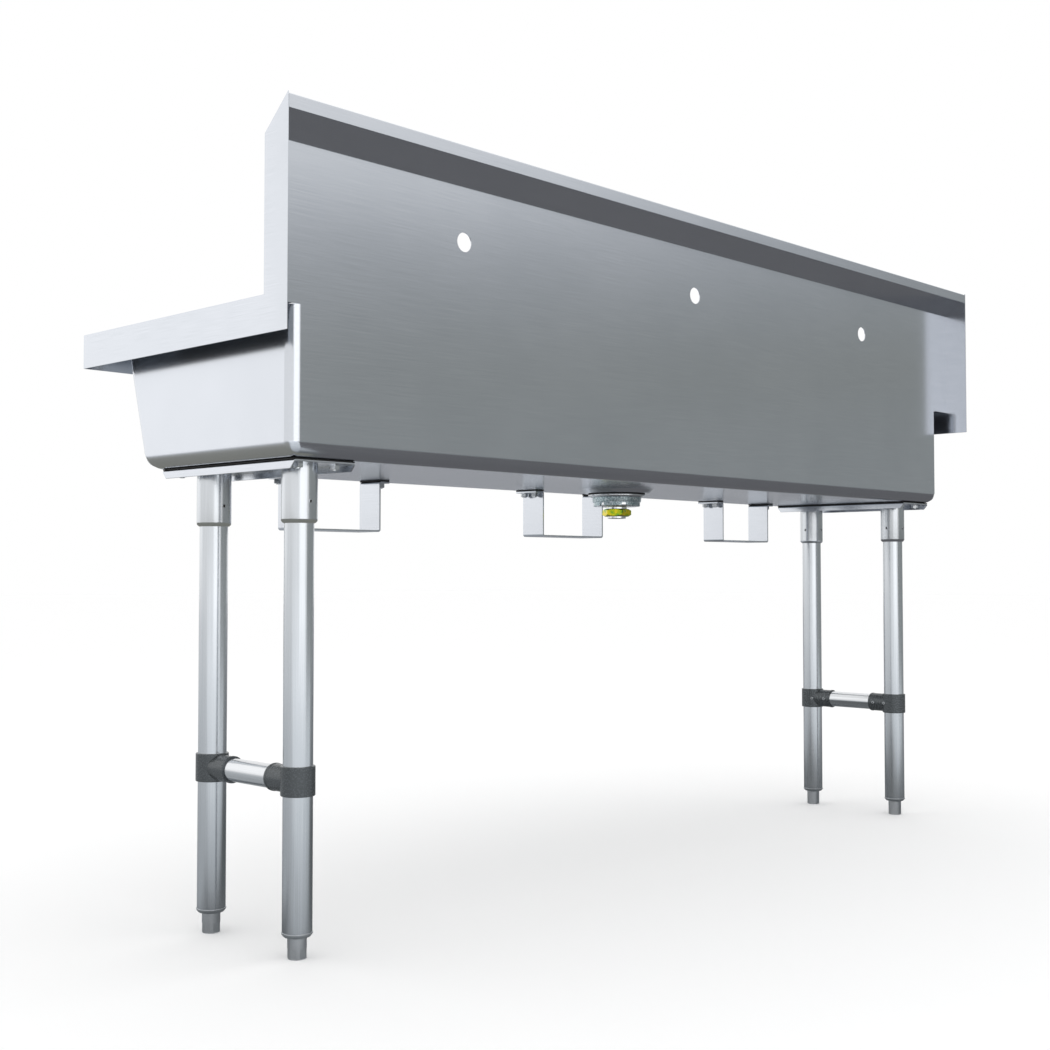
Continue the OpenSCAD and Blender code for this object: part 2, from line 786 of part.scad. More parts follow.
// Strap bent into a U, with a foot at the top of each leg
module knee_bracket(x_place) {
  half = bracket_width / 2;
  color(steel)
    translate([x_place, bracket_y, 0])
      difference() {
        translate([0, strap_width / 2, 0])
          rotate([90, 0, 0])
            linear_extrude(strap_width)
              polygon([
                [-half - strap_foot, bracket_top], [-half - strap_foot, bracket_top - strap_t],
                [-half, bracket_top - strap_t], [-half, bracket_under],
                [half, bracket_under], [half, bracket_top - strap_t],
                [half + strap_foot, bracket_top - strap_t], [half + strap_foot, bracket_top],
                [half - strap_t, bracket_top], [half - strap_t, bracket_under + strap_t],
                [-half + strap_t, bracket_under + strap_t], [-half + strap_t, bracket_top]
              ]);
        for (place = bracket_stud_places())
          translate([place[0], place[1], bracket_top - strap_t - cut])
            cylinder(r = stud_r + push_gap, h = strap_t + 2 * cut, $fn = 32);
      }
}

module knee_bracket_left() { knee_bracket(-station_spacing * (stations - 1) / 2); }
module knee_bracket_centre() { if (stations > 2) knee_bracket(0); }
module knee_bracket_right() { knee_bracket(station_spacing * (stations - 1) / 2); }

module bracket_pads() {
  inner = bracket_width / 2 - strap_t;
  color(black)
    for (i = [0 : stations - 1])
      for (side = [-1, 1])
        translate([station_x(i) + side * (inner + bracket_foot_reach / 2), bracket_y, bracket_top])
          difference() {
            translate([-bracket_foot_reach / 2, -strap_width / 2, 0])
              cube([bracket_foot_reach, strap_width, pad_t]);
            for (sy = [-1, 1])
              translate([side * (bracket_foot_x - inner - bracket_foot_reach / 2), sy * stud_pair / 2, -cut])
                cylinder(r = stud_r + push_gap, h = pad_t + 2 * cut, $fn = 32);
          }
}

// Stud welded under the bowl, through a plate of a given thickness and its nut
module stud(grip) {
  length = pad_t + grip + nut_t + stud_show;
  translate([0, 0, bowl_under - length]) cylinder(r = stud_r, h = length, $fn = 32);
}

// Nut under a plate of a given thickness
module nut(grip) {
  translate([0, 0, bowl_under - pad_t - grip - nut_t])
    difference() {
      cylinder(r = nut_r, h = nut_t, $fn = 6);
      translate([0, 0, -cut]) cylinder(r = stud_r + push_gap, h = nut_t + 2 * cut, $fn = 32);
    }
}

module at_bracket_studs() {
  for (i = [0 : stations - 1])
    for (place = bracket_stud_places())
      translate([station_x(i) + place[0], bracket_y + place[1], 0]) children();
}

module at_channel_studs() {
  for (side = [-1, 1])
    for (place = channel_stud_places())
      translate([side * leg_x + place[0], channel_y + place[1], 0]) children();
}

module bracket_studs() { color(steel) at_bracket_studs() stud(strap_t); }
module bracket_nuts() { color(steel) at_bracket_studs() nut(strap_t); }
module channel_studs() { color(steel) at_channel_studs() stud(channel_t); }
module channel_nuts() { color(steel) at_channel_studs() nut(channel_t); }

// Set screw along Z that bears on a tube at one radius and ends just outside a surface radius
module set_screw(bears_r, surface_r) {
  length = surface_r + set_screw_show - bears_r;
  translate([0, 0, bears_r])
    difference() {
      cylinder(r = set_screw_r, h = length, $fn = 32);
      translate([0, 0, length * (1 - hex_depth_share / 2)])
        cylinder(r = set_screw_r * hex_share, h = length, $fn = 6);
    }
}

module socket_screws() {
  color(steel)
    for (side = [-1, 1])
      for (place = [leg_rear_y, leg_front_y])
        at_leg(side, place)
          translate([0, 0, socket_z + socket_screw_z]) {
            rotate([-90, 0, 0]) set_screw(leg_r + push_gap / 2, socket_r);
            rotate([0, -90 * side, 0]) set_screw(leg_r + push_gap / 2, socket_r);
          }
}

module clamp_screws() {
  leg_screw_y = clamp_reach * clamp_screw_shares[0];
  arm_screw_y = clamp_reach * clamp_screw_shares[1];
  color(steel)
    for (side = [-1, 1])
      for (end = [[leg_rear_y, -1], [leg_front_y, 1]])
        at_leg(side, end[0])
          translate([0, 0, brace_height]) {
            translate([0, end[1] * leg_screw_y, 0])
              rotate([0, -90 * side, 0])
                set_screw(
                  sqrt(pow(leg_r + push_gap, 2) - pow(leg_screw_y - set_screw_r, 2)),
                  sqrt(pow(clamp_r, 2) - pow(leg_screw_y - set_screw_r, 2))
                );
            translate([0, end[1] * arm_screw_y, 0])
              rotate([0, -90 * side, 0]) set_screw(brace_r + push_gap / 2, clamp_arm_r);
          }
}

basin();
deck_rim();
backsplash();
end_cap_right();
end_cap_left();
strainer_body();
drain_gasket();
friction_washer();
drain_locknut();
coupling_washer();
coupling_nut();
tailpiece();
basket_cup();
basket_knob();
basket_stopper();
leg_channel_right();
leg_channel_left();
channel_seal_right();
channel_seal_left();
leg_socket_right_rear();
leg_socket_right_front();
leg_socket_left_rear();
leg_socket_left_front();
leg_right_rear();
leg_right_front();
leg_left_rear();
leg_left_front();
foot_bushing_right_rear();
foot_bushing_right_front();
foot_bushing_left_rear();
foot_bushing_left_front();
foot_right_rear();
foot_right_front();
foot_left_rear();
foot_left_front();
brace_clamp_right_rear();
brace_clamp_right_front();
brace_clamp_left_rear();
brace_clamp_left_front();
brace_tube_right();
brace_tube_left();
knee_bracket_right();
knee_bracket_centre();
knee_bracket_left();
bracket_pads();
bracket_studs();
bracket_nuts();
channel_studs();
channel_nuts();
socket_screws();
clamp_screws();
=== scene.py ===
import math

import bmesh
import bpy
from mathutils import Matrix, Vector


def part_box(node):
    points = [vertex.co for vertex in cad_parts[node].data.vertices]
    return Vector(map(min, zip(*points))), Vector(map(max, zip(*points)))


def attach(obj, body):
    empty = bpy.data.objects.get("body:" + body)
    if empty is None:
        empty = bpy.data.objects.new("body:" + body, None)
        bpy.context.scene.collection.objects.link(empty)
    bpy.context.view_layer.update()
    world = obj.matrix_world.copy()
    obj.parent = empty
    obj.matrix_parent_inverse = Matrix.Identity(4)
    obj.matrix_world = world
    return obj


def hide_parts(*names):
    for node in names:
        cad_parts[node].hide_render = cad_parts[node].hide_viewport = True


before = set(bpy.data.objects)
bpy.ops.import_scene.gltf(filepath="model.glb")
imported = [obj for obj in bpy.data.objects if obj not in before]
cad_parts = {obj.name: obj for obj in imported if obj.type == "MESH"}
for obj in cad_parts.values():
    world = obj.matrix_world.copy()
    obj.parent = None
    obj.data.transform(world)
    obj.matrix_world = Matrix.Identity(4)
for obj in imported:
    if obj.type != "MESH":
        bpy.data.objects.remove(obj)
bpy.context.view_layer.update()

MM = 0.001

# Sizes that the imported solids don't give by their boxes
SHEET = 1.5 * MM
FRONT_LEAN = math.radians(16.3)
FRONT_BEND_SETBACK = 25.5 * MM
FLOOR_BEND_R = 21.5 * MM
UPRIGHT_CORNER_R = 16 * MM
FOLD_R = 3 * MM
SHARP_FOLD_R = 1.8 * MM
LIP_DEPTH = 5 * MM
LIP_R = 4 * MM
EDGE_EASE = 0.4 * MM
TUBE_WALL = 1.5 * MM
STRAP_T = 3 * MM
STRAP_FOOT = 19 * MM
CHANNEL_T = 2.5 * MM
TAP_HOLE_R = 14.3 * MM
TAP_HEIGHT = 127 * MM
STATION_SPACING = 558.8 * MM
SLOPE_HEIGHT = 44.6 * MM
REAR_HEM = 20.9 * MM

# The dish round the drain, and the drain's turned parts
DISH_R = 60 * MM
DISH_SLOPE = 7 * MM
STRAINER_HOLE_R = 39.3 * MM
STRAINER_R = 39 * MM
STRAINER_WALL = 2 * MM
THREAD_BORE_R = 39.2 * MM
SPIGOT_R = 18.5 * MM
TAIL_R = 16.9 * MM
TAIL_WALL = 1.5 * MM

# Fittings on the legs: the bore for a leg, the clamps' collars and arms, and the set screws
LEG_BORE_R = 20.8 * MM
BRACE_BORE_R = 16.8 * MM
COLLAR_R = 23.85 * MM
ARM_R = 18.9 * MM
ARM_REACH = 53 * MM
SCREW_R = 3 * MM
SCREW_SOCKET_R = 1.9 * MM
SCREW_PROUD = 0.8 * MM

# Fineness of round shapes: steps round a full turn and in a bend, and the angle that stays smooth
ROUND_STEPS = 72
SMALL_STEPS = 32
BEND_STEPS = 8
SMOOTH_UNDER = math.radians(32)

SIDES = {"right": 1, "left": -1}
DEPTHS = ("rear", "front")
STATIONS = {"left": -1, "centre": 0, "right": 1}

basin_low, basin_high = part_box("basin")
deck_low, deck_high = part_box("deck_rim")
splash_low, splash_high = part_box("backsplash")
cap_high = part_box("end_cap_right")[1]
seal_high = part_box("channel_seal_right")[1]
drain_low, drain_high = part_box("drain_gasket")

HALF_LENGTH = cap_high.x
HALF_DEPTH = cap_high.y
INNER_HALF = deck_high.x
DECK_Z = deck_high.z
APRON_Z = deck_low.z
TOP_Z = splash_high.z
PANEL_FRONT = splash_low.y
PANEL_BACK = basin_high.y
BOWL_HALF = basin_high.x
BOWL_UNDER = seal_high.z
DRAIN_Y = (drain_low.y + drain_high.y) / 2
DRAIN_AXIS = Vector((0, DRAIN_Y, 0))
DISH_UNDER = drain_high.z
SLOPE_Z = TOP_Z - SLOPE_HEIGHT


def front_y(z):
    """Place of the bowl's front wall outside, at a height."""
    return basin_low.y + (basin_high.z - z) * math.tan(FRONT_LEAN)


def middle(node):
    """Middle of a node's box."""
    low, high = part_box(node)
    return (low + high) / 2


def upright_axis(node):
    """Point on the floor under a node's middle."""
    place = middle(node)
    return Vector((place.x, place.y, 0))


# Shaping helpers


def only(obj):
    """Makes one object the only one that is selected, and the active one."""
    bpy.ops.object.select_all(action="DESELECT")
    obj.select_set(True)
    bpy.context.view_layer.objects.active = obj


def just_made(name):
    """The object that was just made, under a name."""
    obj = bpy.context.object
    obj.name = name
    obj.data.name = name
    return obj


def apply_place(obj):
    """Puts an object's place, turn and scale into its mesh."""
    only(obj)
    bpy.ops.object.transform_apply(location=True, rotation=True, scale=True)


def modify(obj, kind, **settings):
    """Adds one modifier with its settings and applies it."""
    only(obj)
    added = obj.modifiers.new(kind.title(), kind)
    for name, value in settings.items():
        setattr(added, name, value)
    bpy.ops.object.modifier_apply(modifier=added.name)


def choose(obj, kind, test):
    """Selects, in edit mode, the vertices, edges or faces whose every point passes a test."""
    bpy.ops.mesh.select_mode(type=kind)
    bpy.ops.mesh.select_all(action="DESELECT")
    mesh = bmesh.from_edit_mesh(obj.data)
    parts = {"VERT": mesh.verts, "EDGE": mesh.edges, "FACE": mesh.faces}[kind]
    for part in parts:
        points = [part.co] if kind == "VERT" else [corner.co for corner in part.verts]
        part.select_set(all(test(point) for point in points))
    bmesh.update_edit_mesh(obj.data)


def near(a, b):
    """True where two lengths are the same to a twentieth of a millimetre."""
    return abs(a - b) < 0.05 * MM


def arc(across, along, radius, start, end, steps=BEND_STEPS):
    """Points of an arc in an outline, from one angle to another in degrees."""
    turns = [math.radians(start + (end - start) * i / steps) for i in range(steps + 1)]
    return [(across + radius * math.cos(t), along + radius * math.sin(t)) for t in turns]


def eased(corners, steps=BEND_STEPS):
    """Outline through corners (across, along, radius), each turned into an arc of its radius."""
    outline = []
    for i, (across, along, radius) in enumerate(corners):
        if radius == 0:
            outline.append((across, along))
            continue
        here = Vector((across, along))
        back = (Vector(corners[i - 1][:2]) - here).normalized()
        ahead = (Vector(corners[(i + 1) % len(corners)][:2]) - here).normalized()
        half = back.angle(ahead) / 2
        centre = here + (back + ahead).normalized() * radius / math.sin(half)
        first = here + back * radius / math.tan(half) - centre
        last = here + ahead * radius / math.tan(half) - centre
        for step in range(steps + 1):
            outline.append(tuple(centre + first.slerp(last, step / steps) * radius))
    return outline


def trace(name, points):
    """Starts a piece as one vertex and extrudes it along a line of points. It stays in edit mode."""
    bpy.ops.object.select_all(action="DESELECT")
    bpy.ops.mesh.primitive_plane_add(size=MM, location=points[0])
    obj = just_made(name)
    apply_place(obj)
    bpy.ops.object.mode_set(mode="EDIT")
    bpy.ops.mesh.select_mode(type="VERT")
    bpy.ops.mesh.select_all(action="SELECT")
    bpy.ops.mesh.merge(type="CENTER")
    for here, there in zip(points, points[1:]):
        step = Vector(there) - Vector(here)
        bpy.ops.mesh.extrude_vertices_move(TRANSFORM_OT_translate={"value": step})
    return obj


def extrude(kind, step):
    """Extrudes what is selected, as edges or as faces, by a step."""
    if kind == "EDGE":
        bpy.ops.mesh.extrude_edges_move(TRANSFORM_OT_translate={"value": step})
    else:
        bpy.ops.mesh.extrude_region_move(TRANSFORM_OT_translate={"value": step})


def close_shell():
    """Welds the doubles of the open edit mesh, turns its faces outwards and leaves edit mode."""
    bpy.ops.mesh.select_all(action="SELECT")
    bpy.ops.mesh.remove_doubles(threshold=0.01 * MM)
    bpy.ops.mesh.normals_make_consistent(inside=False)
    bpy.ops.object.mode_set(mode="OBJECT")


AXES = {"X": Vector((1, 0, 0)), "Y": Vector((0, 1, 0)), "Z": Vector((0, 0, 1))}
ACROSS = {"X": Vector((0, 0, 1)), "Y": Vector((1, 0, 0)), "Z": Vector((1, 0, 0))}


def turned(name, outline, centre, axis="Z", steps=ROUND_STEPS):
    """Turns an outline of (radius, place along the axis) round an axis through a centre."""
    points = [centre + ACROSS[axis] * r + AXES[axis] * along for r, along in outline]
    obj = trace(name, points)
    bpy.ops.mesh.select_all(action="SELECT")
    bpy.ops.mesh.spin(steps=steps, angle=math.tau, center=centre, axis=AXES[axis])
    close_shell()
    return obj


def ring(outline):
    """Outline that runs back to its first point, for a ring or a tube."""
    return outline + outline[:1]


def lathe(name, corners, centre, steps):
    """Turns a closed outline through eased corners round an upright axis."""
    return turned(name, ring(eased(corners, steps)), centre)


def drawn_out(name, points, step):
    """Traces a line of points and draws it out into a sheet. It stays in edit mode."""
    obj = trace(name, points)
    bpy.ops.mesh.select_mode(type="EDGE")
    bpy.ops.mesh.select_all(action="SELECT")
    extrude("EDGE", step)
    return obj


def thicken(obj, thickness, side=-1):
    """Turns the open sheet's faces one way, leaves edit mode and thickens the sheet on one side."""
    bpy.ops.mesh.select_all(action="SELECT")
    bpy.ops.mesh.normals_make_consistent(inside=False)
    bpy.ops.object.mode_set(mode="OBJECT")
    modify(obj, "SOLIDIFY", thickness=thickness, offset=side, use_even_offset=True)


def folded(name, section, start, along, thickness, side):
    """Folds a sheet: its section is drawn out along its width and thickened on one side."""
    across = AXES["Y"] if abs(along.x) > 0 else AXES["X"]
    points = [start + across * a + AXES["Z"] * b for a, b in section]
    obj = drawn_out(name, points, along)
    thicken(obj, thickness, side)
    return obj


def block(name, low, high):
    """A cube with its place and size in its mesh."""
    bpy.ops.object.select_all(action="DESELECT")
    bpy.ops.mesh.primitive_cube_add(size=1, location=(low + high) / 2, scale=high - low)
    obj = just_made(name)
    apply_place(obj)
    return obj


def rod(name, radius, start, length, axis="Z", sides=ROUND_STEPS):
    """A cylinder from a start along an axis."""
    turn = {"X": (0, math.pi / 2, 0), "Y": (-math.pi / 2, 0, 0), "Z": (0, 0, 0)}[axis]
    bpy.ops.object.select_all(action="DESELECT")
    bpy.ops.mesh.primitive_cylinder_add(
        vertices=sides,
        radius=radius,
        depth=abs(length),
        location=start + AXES[axis] * length / 2,
        rotation=turn,
    )
    obj = just_made(name)
    apply_place(obj)
    return obj


def hexagon(name, corner_r, start, height):
    """A hexagonal prism with one corner towards +X."""
    obj = rod(name, corner_r, start, height, "Z", 6)
    only(obj)
    bpy.ops.transform.rotate(value=math.radians(30), orient_axis="Z", center_override=start)
    apply_place(obj)
    return obj


def cut_by(obj, cutter, operation="DIFFERENCE"):
    """Cuts an object by another, which is used up."""
    modify(obj, "BOOLEAN", object=cutter, operation=operation, solver="EXACT")
    bpy.data.objects.remove(cutter)


def cut_round(obj, count, first_turn, centre, reach, low, high):
    """Cuts a block out of a piece at equal turns round an upright axis."""
    for i in range(count):
        turn = first_turn + i * math.tau / count
        out = Vector((math.cos(turn), math.sin(turn), 0))
        cutter = block("cutter", low, high)
        cutter.rotation_euler.z = turn
        cutter.location = centre + out * reach
        apply_place(cutter)
        cut_by(obj, cutter)


def ease_edges(obj, width=EDGE_EASE, steps=2, angle=50):
    """Takes the sharpness off every edge that folds by more than an angle."""
    limit = math.radians(angle)
    modify(obj, "BEVEL", width=width, segments=steps, limit_method="ANGLE", angle_limit=limit)


def copy_by(obj, name, step):
    """Copies a piece, mesh and all, and moves the copy by a step."""
    only(obj)
    bpy.ops.object.duplicate(linked=False)
    copied = just_made(name)
    bpy.ops.transform.translate(value=step)
    apply_place(copied)
    return copied


def joined(name, pieces):
    """Joins pieces into one under a name."""
    bpy.ops.object.select_all(action="DESELECT")
    for piece in pieces:
        piece.select_set(True)
    bpy.context.view_layer.objects.active = pieces[0]
    bpy.ops.object.join()
    return just_made(name)


def done(obj, material, nodes, body="sink"):
    """Gives a piece its smooth shading, finish, body and the nodes that it stands for."""
    only(obj)
    bpy.ops.object.shade_smooth_by_angle(angle=SMOOTH_UNDER)
    modify(obj, "WEIGHTED_NORMAL", mode="FACE_AREA", weight=100, keep_sharp=True)
    obj.data.materials.clear()
    obj.data.materials.append(material)
    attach(obj, body)
    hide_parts(*nodes)
    return obj


# Finishes


def linear(hex_text):
    """Linear colour of an sRGB hex value."""
    parts = [int(hex_text[i : i + 2], 16) / 255 for i in (1, 3, 5)]
    return [c / 12.92 if c <= 0.04045 else ((c + 0.055) / 1.055) ** 2.4 for c in parts] + [1]


def add(tree, kind, sockets=None, **settings):
    """Adds a node with its settings, its values and its links."""
    node = tree.nodes.new(kind)
    for name, value in settings.items():
        setattr(node, name, value)
    for name, value in (sockets or {}).items():
        if isinstance(value, bpy.types.NodeSocket):
            tree.links.new(value, node.inputs[name])
        else:
            node.inputs[name].default_value = value
    return node


def finish_named(name):
    """An empty material with its tree, its shader and the coordinates that its patterns read."""
    material = bpy.data.materials.new(name)
    material.use_nodes = True
    tree = material.node_tree
    shader = tree.nodes["Principled BSDF"]
    place = add(tree, "ShaderNodeTexCoord").outputs["Object"]
    return material, tree, shader, place


def tone_ramp(tree, factor, tones):
    """Colours along a factor from 0 to 1, as (place, hex value)."""
    ramp = add(tree, "ShaderNodeValToRGB", {"Fac": factor})
    stops = ramp.color_ramp.elements
    stops[0].position, stops[0].color = tones[0][0], linear(tones[0][1])
    stops[1].position, stops[1].color = tones[-1][0], linear(tones[-1][1])
    for place, tone in tones[1:-1]:
        stops.new(place).color = linear(tone)
    return ramp.outputs["Color"]


def surface(tree, shader, shade, grain, tones, roughness, relief, metallic):
    """Lays tones over a shade, and lets the gloss and the relief follow a grain.

    The relief is how strongly the grain bends the light, and its depth in millimetres.
    """
    tree.links.new(tone_ramp(tree, shade, tones), shader.inputs["Base Color"])
    span = {"Value": grain, "To Min": roughness[0], "To Max": roughness[1]}
    rough = add(tree, "ShaderNodeMapRange", span)
    tree.links.new(rough.outputs["Result"], shader.inputs["Roughness"])
    strength, depth_mm = relief
    if strength > 0:
        ridges = {"Height": grain, "Strength": strength, "Distance": depth_mm * MM}
        bump = add(tree, "ShaderNodeBump", ridges)
        tree.links.new(bump.outputs["Normal"], shader.inputs["Normal"])
    shader.inputs["Metallic"].default_value = metallic


def per_length(length_mm):
    """Scale of a pattern whose marks are about a length across."""
    return 1 / (length_mm * MM)


def brushed_steel(name, grain, tones, roughness, line_mm, length_mm, relief=0.05):
    """Stainless steel with belt-ground lines along a grain axis, under faint large clouds.

    Real grit lines are near 0.1 mm; these are drawn coarser so that they show at all.
    """
    material, tree, shader, place = finish_named(name)
    cloud_mm, cloud_share, line_depth_mm = 143, 0.35, 0.1
    stretch = [per_length(length_mm if axis == grain else line_mm) for axis in "XYZ"]
    lines_at = add(tree, "ShaderNodeMapping", {"Vector": place, "Scale": stretch}).outputs["Vector"]
    line_noise = add(tree, "ShaderNodeTexNoise", {"Vector": lines_at, "Scale": 1.0, "Detail": 3.0})
    lines = line_noise.outputs["Fac"]
    clouds = add(tree, "ShaderNodeTexNoise", {"Vector": place, "Scale": per_length(cloud_mm), "Detail": 2.0})
    both = {"Factor": cloud_share, "A": lines, "B": clouds.outputs["Fac"]}
    shade = add(tree, "ShaderNodeMix", both).outputs["Result"]
    ends = [(0.3, tones[0]), (0.7, tones[1])]
    surface(tree, shader, shade, lines, ends, roughness, (relief, line_depth_mm), 1.0)
    return material


SHEET_TONES = ("#CCD0D6", "#D8DBE1")
SHEET_SHEEN = (0.16, 0.22)

# Type 304 sheet with a number 4 belt finish: soft, slightly cold reflections, lines along the length
sheet_lengthwise = brushed_steel("brushed_304_sheet_lengthwise", "X", SHEET_TONES, SHEET_SHEEN, 0.8, 90)
# The same sheet with its lines from front to rear, and fainter, on the end caps, straps and channels
sheet_crosswise = brushed_steel("brushed_304_sheet_crosswise", "Y", SHEET_TONES, SHEET_SHEEN, 0.8, 60, 0.03)
# Drawn and ground stainless tube: tight reflections with lines along the tube
tube_upright = brushed_steel("satin_304_tube_upright", "Z", ("#C9CDD1", "#D9DCE0"), (0.18, 0.24), 0.7, 160)
# Bright-drawn brace tube: smoother than the legs, so its reflections are clearer
tube_brace = brushed_steel("bright_304_tube_lengthwise", "Y", ("#D3D5D8", "#E4E6E8"), (0.14, 0.2), 0.7, 80)
# Buffed stainless of the strainer and the tail tube: nearly a mirror
buffed_steel = brushed_steel("buffed_304_pressing", "Z", ("#D6D8DA", "#E6E8EA"), (0.08, 0.14), 0.6, 20)
# Turned steel of the feet and bushings: dull grey, with fine turning marks round it
turned_steel = brushed_steel("turned_grey_steel", "Z", ("#B9BDC1", "#D0D3D6"), (0.36, 0.46), 0.8, 1.2)


def grained(name, mark_mm, noise, tones, roughness, metallic, relief=(0, 0)):
    """Material whose tone and gloss follow one grain, with marks about a length across."""
    material, tree, shader, place = finish_named(name)
    settings = {"Vector": place, "Scale": per_length(mark_mm), **noise}
    grain = add(tree, "ShaderNodeTexNoise", settings).outputs["Fac"]
    surface(tree, shader, grain, grain, tones, roughness, relief, metallic)
    return material


PLAIN = {"Detail": 2.0}

# Bright zinc plate on the nuts, studs and screws: small, hard, near-white highlights. Its crystals
# are far finer than 1 mm; the grain is drawn coarse so that it shows.
ZINC_TONES = [(0.3, "#C4C8CC"), (0.7, "#E4E6E8")]
bright = grained("bright_zinc_plate", 1.11, PLAIN, ZINC_TONES, (0.14, 0.26), 1.0)
# Painted shade in a screw's socket: a nearly black, slightly glossy finish for the dark disc that stands in
# for the shade in the recess
SOCKET_SHADE_TONES = [(0.3, "#0E0E0F"), (0.7, "#1C1C1E")]
socket_shade = grained("painted_socket_shade", 1.11, PLAIN, SOCKET_SHADE_TONES, (0.4, 0.55), 0.0)
# Die-cast locknut under blue zinc: a coarse, frosty grain with cold highlights
FROST = {"Detail": 4.0, "Roughness": 0.7}
FROST_TONES = [(0.36, "#7A9196"), (0.5, "#B4C5CA"), (0.64, "#EFF5F6")]
zinc = grained("blue_zinc_die_casting", 2.94, FROST, FROST_TONES, (0.2, 0.42), 1.0, (0.6, 0.5))
# Yellow chromate over zinc: gold that slips into green and teal in patches
DRIFT = {"Detail": 2.0, "Distortion": 0.8}
GOLD_TONES = [(0.3, "#4A9A68"), (0.4, "#8DB32C"), (0.5, "#D6CE28"), (0.6, "#F2D640"), (0.72, "#7CBA5C")]
chromate = grained("yellow_chromate_zinc", 16.67, DRIFT, GOLD_TONES, (0.16, 0.26), 1.0)
# Moulded black rubber of the gaskets and pads: matt, with a faint grey bloom
RUBBER_TONES = [(0.3, "#0C0C0D"), (0.7, "#1A1A1B")]
rubber = grained("moulded_black_rubber", 4.17, {"Detail": 3.0}, RUBBER_TONES, (0.6, 0.8), 0.0)
# Zinc casting under charcoal coating: dark, with a soft broad sheen and a fine orange peel
COATING_TONES = [(0.3, "#4C5052"), (0.7, "#585C5F")]
charcoal = grained("charcoal_coated_casting", 2.38, PLAIN, COATING_TONES, (0.22, 0.32), 0.6, (0.06, 0.15))


# Bowl, deck and backsplash


def press_dish(obj):
    """Replaces the bowl's flat floor by one with the dish round the drain. It stays in edit mode."""
    rim_r, level_land = DISH_R + DISH_SLOPE, 12 * MM
    rim_bend_r, floor_bend_r = 8 * MM, 5 * MM
    profile = eased(
        [
            (rim_r + level_land, BOWL_UNDER, 0),
            (rim_r, BOWL_UNDER, rim_bend_r),
            (DISH_R, DISH_UNDER, floor_bend_r),
            (STRAINER_HOLE_R, DISH_UNDER, 0),
        ],
        steps=4,
    )
    only(obj)
    bpy.ops.object.mode_set(mode="EDIT")
    choose(obj, "FACE", lambda p: near(p.z, BOWL_UNDER))
    bpy.ops.mesh.delete(type="ONLY_FACE")
    centre = Vector((0, DRAIN_Y, BOWL_UNDER))
    bpy.ops.mesh.primitive_circle_add(vertices=ROUND_STEPS, radius=profile[0][0], location=centre)
    choose(obj, "EDGE", lambda p: near(p.z, BOWL_UNDER))
    bpy.ops.mesh.fill()
    just_past = profile[0][0] + 0.05 * MM
    choose(obj, "EDGE", lambda p: math.hypot(p.x, p.y - DRAIN_Y) < just_past)
    for (r, z), (next_r, next_z) in zip(profile, profile[1:]):
        extrude("EDGE", Vector((0, 0, next_z - z)))
        share = next_r / r
        place = Vector((0, DRAIN_Y, next_z))
        bpy.ops.transform.resize(value=(share, share, 1), center_override=place)


def make_basin():
    """The bowl: a box whose front wall leans out, with bent lower edges and a dish round the drain."""
    rim_z = DECK_Z - LIP_DEPTH
    low = Vector((-BOWL_HALF, front_y(rim_z), BOWL_UNDER))
    high = Vector((BOWL_HALF, PANEL_BACK, rim_z))
    obj = block("basin_pressing", low, high)
    bpy.ops.object.mode_set(mode="EDIT")
    choose(obj, "FACE", lambda p: near(p.z, rim_z))
    bpy.ops.mesh.delete(type="ONLY_FACE")
    choose(obj, "VERT", lambda p: near(p.z, BOWL_UNDER) and p.y < 0)
    foot_shift = front_y(BOWL_UNDER) - front_y(rim_z)
    bpy.ops.transform.translate(value=(0, foot_shift, 0))
    choose(obj, "EDGE", lambda p: near(p.z, BOWL_UNDER))
    bpy.ops.transform.edge_bevelweight(value=FLOOR_BEND_R / FRONT_BEND_SETBACK)
    choose(obj, "EDGE", lambda p: near(p.z, BOWL_UNDER) and p.y < 0)
    bpy.ops.transform.edge_bevelweight(value=1)
    mesh = bmesh.from_edit_mesh(obj.data)
    bpy.ops.mesh.select_all(action="DESELECT")
    for edge in mesh.edges:
        ends = [corner.co.z for corner in edge.verts]
        edge.select_set(abs(ends[0] - ends[1]) > LIP_DEPTH)
    bmesh.update_edit_mesh(obj.data)
    bpy.ops.transform.edge_bevelweight(value=UPRIGHT_CORNER_R / FRONT_BEND_SETBACK)
    bpy.ops.object.mode_set(mode="OBJECT")
    bend = {"width": FRONT_BEND_SETBACK, "segments": BEND_STEPS, "limit_method": "WEIGHT"}
    modify(obj, "BEVEL", use_clamp_overlap=False, **bend)
    press_dish(obj)
    thicken(obj, SHEET)
    return done(obj, sheet_lengthwise, ["basin"])


